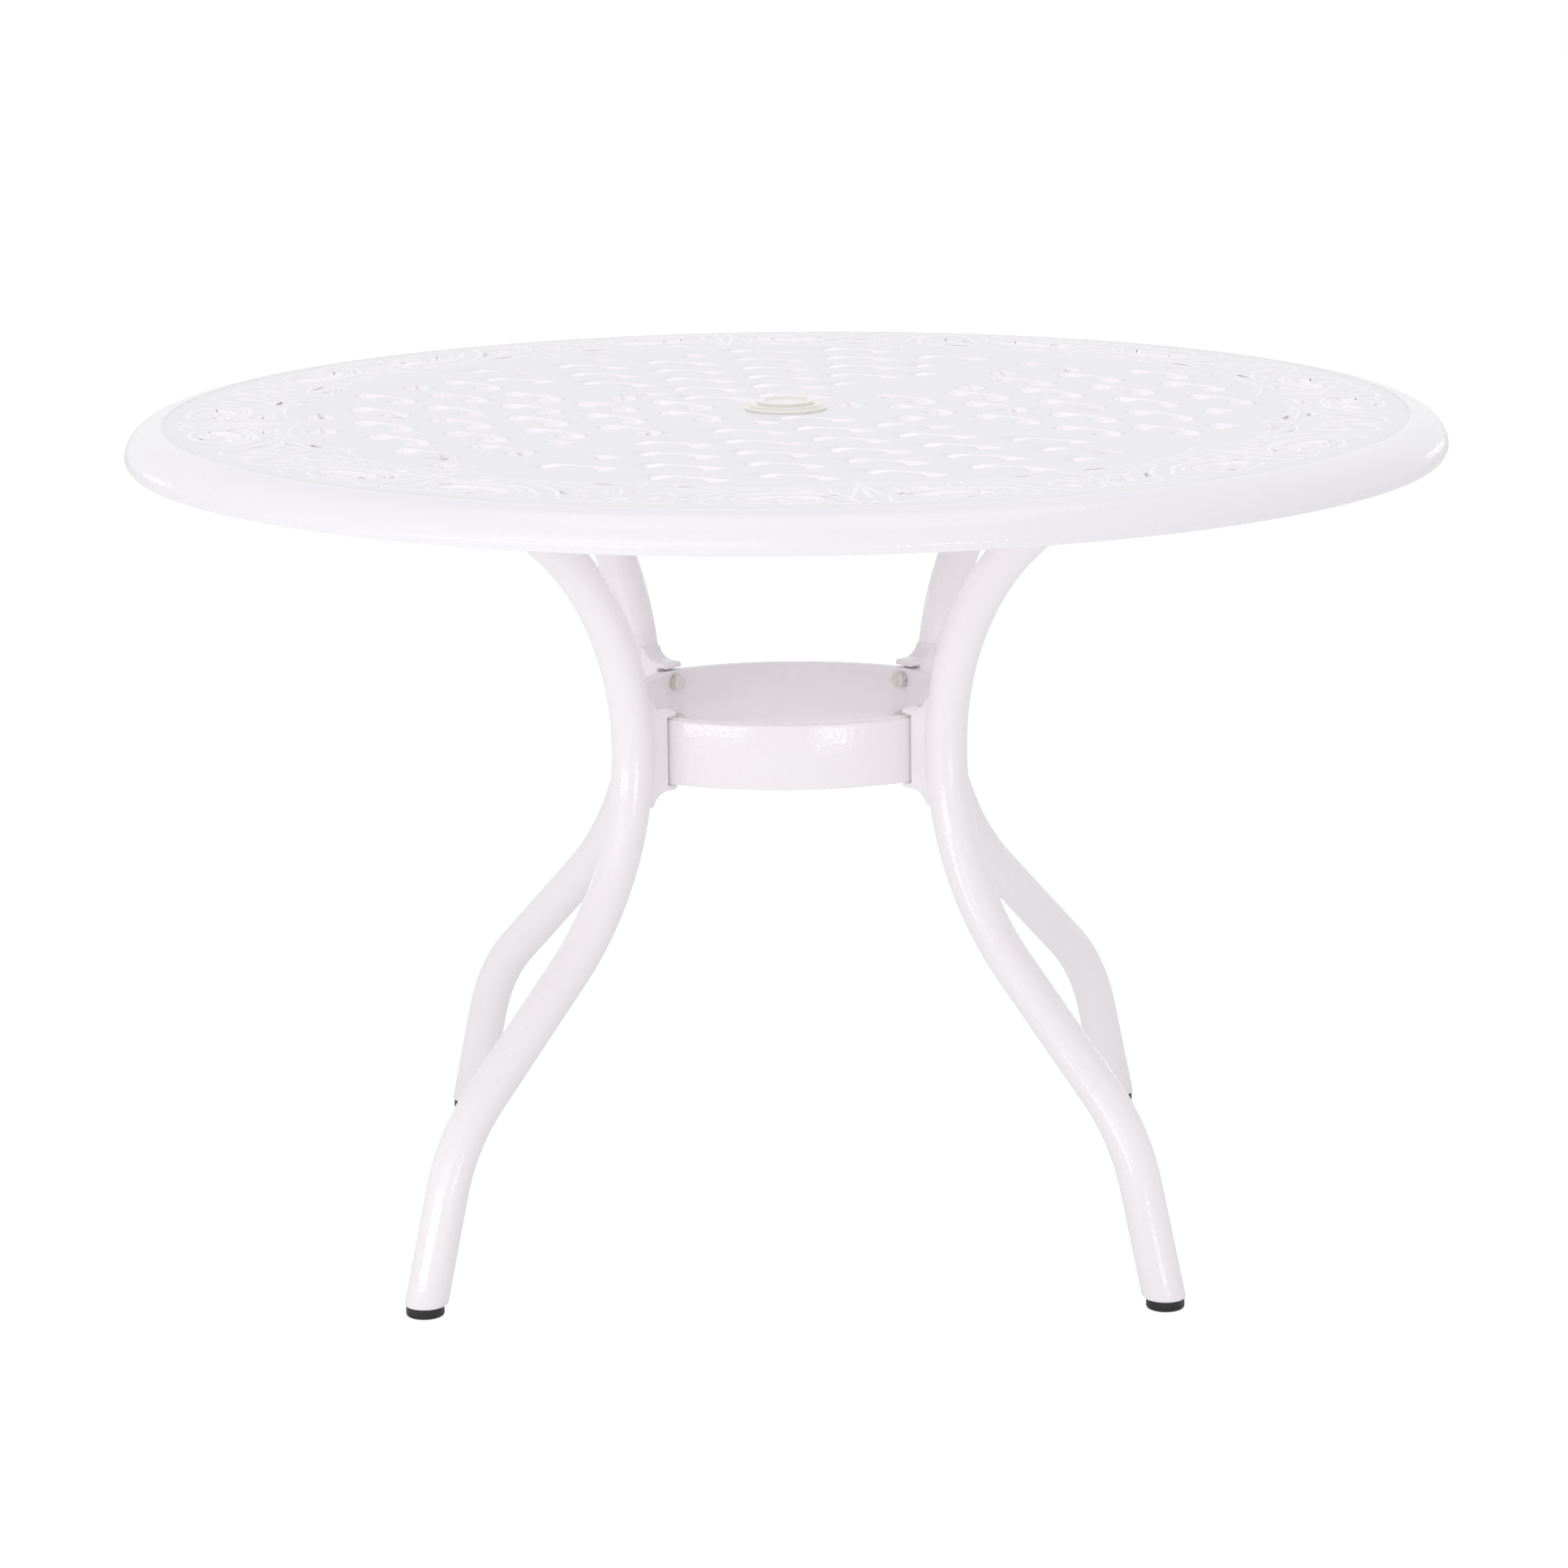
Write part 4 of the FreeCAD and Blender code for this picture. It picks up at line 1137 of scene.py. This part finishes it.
def joined(meshes):
    mesh = bmesh.new()
    for part in meshes:
        mesh.from_mesh(part)
    data = bpy.data.meshes.new("joined")
    mesh.to_mesh(data)
    mesh.free()
    return data


def towards_axis(mesh, level):
    copy = mesh.copy()
    copy.transform(Matrix.Translation((SEAT, 0, level)) @ Matrix.Rotation(math.pi, 4, "Z"))
    return copy


def ring_stack(name, unit, node):
    middle = (RING_BOTTOM + RING_TOP) / 2
    pair = joined([towards_axis(unit, middle + BOLT_SPREAD * share) for share in (-0.5, 0.5)])
    mesh = repeated_mesh(name, pair, 4, 45, zinc)
    mesh.shade_smooth()
    mesh.set_sharp_from_angle(angle=math.radians(30))
    as_piece(name, mesh, zinc, "table", "zinc", node)


bolt = joined([hex_head(STACK), round_disc(BOLT_RADIUS, -BOLT_LENGTH, STACK + 1 * MM)])
lock_washer = round_disc(LOCK_RADIUS, WASHER, STACK, 0.4 * MM)
flat_washer = round_disc(WASHER_RADIUS, 0.0, WASHER)
ring_stack("ring_bolt_heads", bolt, "ring_bolts")
ring_stack("ring_bolt_lock_washers", lock_washer, "ring_lock_washers")
ring_stack("ring_bolt_flat_washers", flat_washer, "ring_flat_washers")
print("bolt faces", len(bolt.polygons))


# %% [markdown]
# The umbrella ring is a clear, slightly yellow plastic sleeve with a broad flange, and the
# cap that plugs it is a smaller stepped disc. The cap has a body of its own, because it
# lifts out. Both are turned, with a soft corner at every step.

# %% Umbrella ring and cap
SLEEVE_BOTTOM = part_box("umbrella_ring")[0][2]
STEP_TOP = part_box("umbrella_ring")[1][2]
CAP_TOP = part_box("hole_cap")[1][2]
CAP_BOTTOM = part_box("hole_cap")[0][2]
BORE = 20.5 * MM
SLEEVE_OUTER = 24.5 * MM
FLANGE = 37.5 * MM
STEP = 33.5 * MM
RECESS = 22.5 * MM
RECESS_FLOOR = STEP_TOP - 12 * MM
CAP_OUTER = 26.5 * MM
PLUG = 22.4 * MM


def umbrella_ring_profile():
    profile = [(BORE, SLEEVE_BOTTOM), (SLEEVE_OUTER, SLEEVE_BOTTOM), (SLEEVE_OUTER, TOP_Z)]
    profile += [(FLANGE - 0.5 * MM, TOP_Z)]
    profile += soft_corner(FLANGE - 2 * MM, TOP_Z + 1 * MM, 2 * MM, 0, 90, 6)
    profile += soft_corner(STEP + 1 * MM, TOP_Z + 3.8 * MM, 0.8 * MM, 270, 180, 4)
    profile += soft_corner(STEP - 1 * MM, STEP_TOP - 1 * MM, 1 * MM, 0, 90, 5)
    profile += [(RECESS + 0.6 * MM, STEP_TOP), (RECESS, STEP_TOP - 0.6 * MM)]
    profile += [(RECESS, RECESS_FLOOR), (BORE, RECESS_FLOOR)]
    return profile


def cap_profile():
    # the cap's flange lies a hair above the sleeve's step
    seat, inner = STEP_TOP + 0.02 * MM, PLUG - 2 * MM
    profile = [(0, STEP_TOP - 0.5 * MM), (inner, STEP_TOP - 0.5 * MM), (inner, CAP_BOTTOM)]
    profile += [(PLUG, CAP_BOTTOM), (PLUG, seat), (CAP_OUTER - 0.3 * MM, seat)]
    profile += soft_corner(CAP_OUTER - 1.5 * MM, CAP_TOP - 1.5 * MM, 1.5 * MM, 0, 90, 6)
    profile += [(CAP_OUTER - 6 * MM, CAP_TOP), (CAP_OUTER - 7 * MM, CAP_TOP - 1.5 * MM)]
    profile += [(0, CAP_TOP - 1.5 * MM)]
    return profile


sleeve = turned_mesh("umbrella_sleeve", umbrella_ring_profile(), 96)
as_piece("umbrella_sleeve", sleeve, ring_plastic, "table", "clear_plastic", "umbrella_ring")
cap = turned_mesh("cap", cap_profile(), 96)
as_piece("cap", cap, ring_plastic, "cap", "clear_plastic", "hole_cap")
print("sleeve and cap faces", len(sleeve.polygons) + len(cap.polygons))


# %% [markdown]
# The glides are black plastic feet. The hub, the top plates, and the bolts and washers under
# those plates keep the frame's own meshes and only need their finish.

# %% Foot glides
GLIDE_RADIUS = 17 * MM
GLIDE_SOFT = 2.5 * MM


def glide_mesh(name, turn):
    middle = FOOT_REACH - GLIDE_TOP / 2 * math.tan(math.radians(FOOT_LEAN))
    top = GLIDE_TOP + 0.5 * MM
    profile = [(0, 0)]
    profile += soft_corner(GLIDE_RADIUS - GLIDE_SOFT, GLIDE_SOFT, GLIDE_SOFT, 270, 360, 6)
    profile += [(GLIDE_RADIUS, top), (0, top)]
    mesh = turned_mesh(name, profile, 48)
    mesh.transform(Matrix.Translation((middle, 0, 0)))
    mesh.transform(Matrix.Rotation(math.radians(turn), 4, "Z"))
    return mesh


for leg, turn in LEG_TURNS.items():
    name = "glide_" + leg
    glide = glide_mesh(name, turn)
    as_piece(name, glide, glide_plastic, "table", "black_plastic", "foot_" + name)
for name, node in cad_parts.items():
    if name.startswith(("top_plate", "panel_hub", "plate_")):
        node.data.materials.clear()
        node.data.materials.append(zinc if name.startswith("plate_") else leg_coat_painted_light)
print("glide faces", len(glide.polygons))


# %% [markdown]
# The studio is a white floor with soft light from all round. Two long thin lamps stand low in
# front and give the bright lines on the rim and the legs, two broad ones fill the shade from
# the front and from above, and two small ones behind edge the rear legs. The world is pure
# white to the camera, in reflections and through the clear plastic, and the floor has a lift
# that only the camera sees, so the light on the table stays plain. A stronger world would
# whiten the floor as well, but it would wash out the shadows.

# %% Floor, world and lamps
FLOOR_REACH = 14.0
FLOOR_TONE = 0.96
FLOOR_LIFT = 0.55
WORLD_STRENGTH = 0.82
# each lamp: azimuth and elevation in degrees, distance, width and height in metres, radiance
LAMPS = {
    "front_left_lamp": (-39, -9, 2.6, 1.7, 0.10, 13.0),
    "front_right_lamp": (22, -12, 2.6, 0.8, 0.04, 26.0),
    "front_fill": (-25, 12, 6.0, 5.0, 1.5, 1.1),
    "overhead_fill": (0, 88, 4.0, 4.0, 4.0, 0.70),
    "rear_left_lamp": (-129, 2, 4.0, 0.2, 0.2, 5.0),
    "rear_right_lamp": (143, 2, 4.0, 0.2, 0.2, 5.0),
}


def make_floor():
    mesh = bmesh.new()
    bmesh.ops.create_grid(mesh, x_segments=2, y_segments=2, size=FLOOR_REACH)
    data = finished(mesh, "floor")
    floor = bpy.data.objects.new("floor", data)
    bpy.context.collection.objects.link(floor)
    material, nodes = new_material("floor_white")
    shader = put(nodes["Principled BSDF"], Base_Color=(*[FLOOR_TONE] * 3, 1),
                 Roughness=0.9, Specular_IOR_Level=0.0)
    lift = nodes.new("ShaderNodeEmission")
    seen = nodes.new("ShaderNodeLightPath")
    share = nodes.new("ShaderNodeMath")
    share.operation = "MULTIPLY"
    share.inputs[1].default_value = FLOOR_LIFT
    both = nodes.new("ShaderNodeAddShader")
    wire(seen, "Is Camera Ray", share, 0)
    wire(share, "Value", lift, "Strength")
    wire(shader, "BSDF", both, 0)
    wire(lift, "Emission", both, 1)
    wire(both, "Shader", nodes["Material Output"], "Surface")
    data.materials.append(material)


def make_world(strength):
    world = bpy.data.worlds.new("studio")
    bpy.context.scene.world = world
    world.use_nodes = True
    nodes = world.node_tree.nodes
    soft = put(nodes["Background"], Color=(1, 1, 1, 1), Strength=strength)
    white = put(nodes.new("ShaderNodeBackground"), Color=(1, 1, 1, 1), Strength=1.0)
    seen = nodes.new("ShaderNodeLightPath")
    plain, clear = nodes.new("ShaderNodeMath"), nodes.new("ShaderNodeMath")
    plain.operation = clear.operation = "MAXIMUM"
    mix = nodes.new("ShaderNodeMixShader")
    wire(seen, "Is Camera Ray", plain, 0)
    wire(seen, "Is Glossy Ray", plain, 1)
    wire(plain, "Value", clear, 0)
    wire(seen, "Is Transmission Ray", clear, 1)
    wire(clear, "Value", mix, "Fac")
    wire(soft, "Background", mix, 1)
    wire(white, "Background", mix, 2)
    wire(mix, "Shader", nodes["World Output"], "Surface")


def add_lamp(name, azimuth, elevation, distance, width, height, radiance):
    # azimuth 0 is straight in front of the table, and turns towards its right side
    turn, rise = math.radians(azimuth), math.radians(elevation)
    data = bpy.data.lights.new(name, "AREA")
    data.shape = "RECTANGLE"
    data.size, data.size_y = width, height
    data.energy = radiance * math.pi * width * height
    lamp = bpy.data.objects.new(name, data)
    bpy.context.collection.objects.link(lamp)
    level = math.cos(rise)
    offset = Vector((math.sin(turn) * level, -math.cos(turn) * level, math.sin(rise)))
    lamp.location = Vector((0, 0, TOP_Z)) + offset * distance
    lamp.rotation_euler = (-offset).to_track_quat("-Z", "Y").to_euler()


make_floor()
make_world(WORLD_STRENGTH)
for name, settings in LAMPS.items():
    add_lamp(name, *settings)
bpy.context.scene.view_settings.view_transform = "Standard"
print("lamps", len(bpy.data.lights))
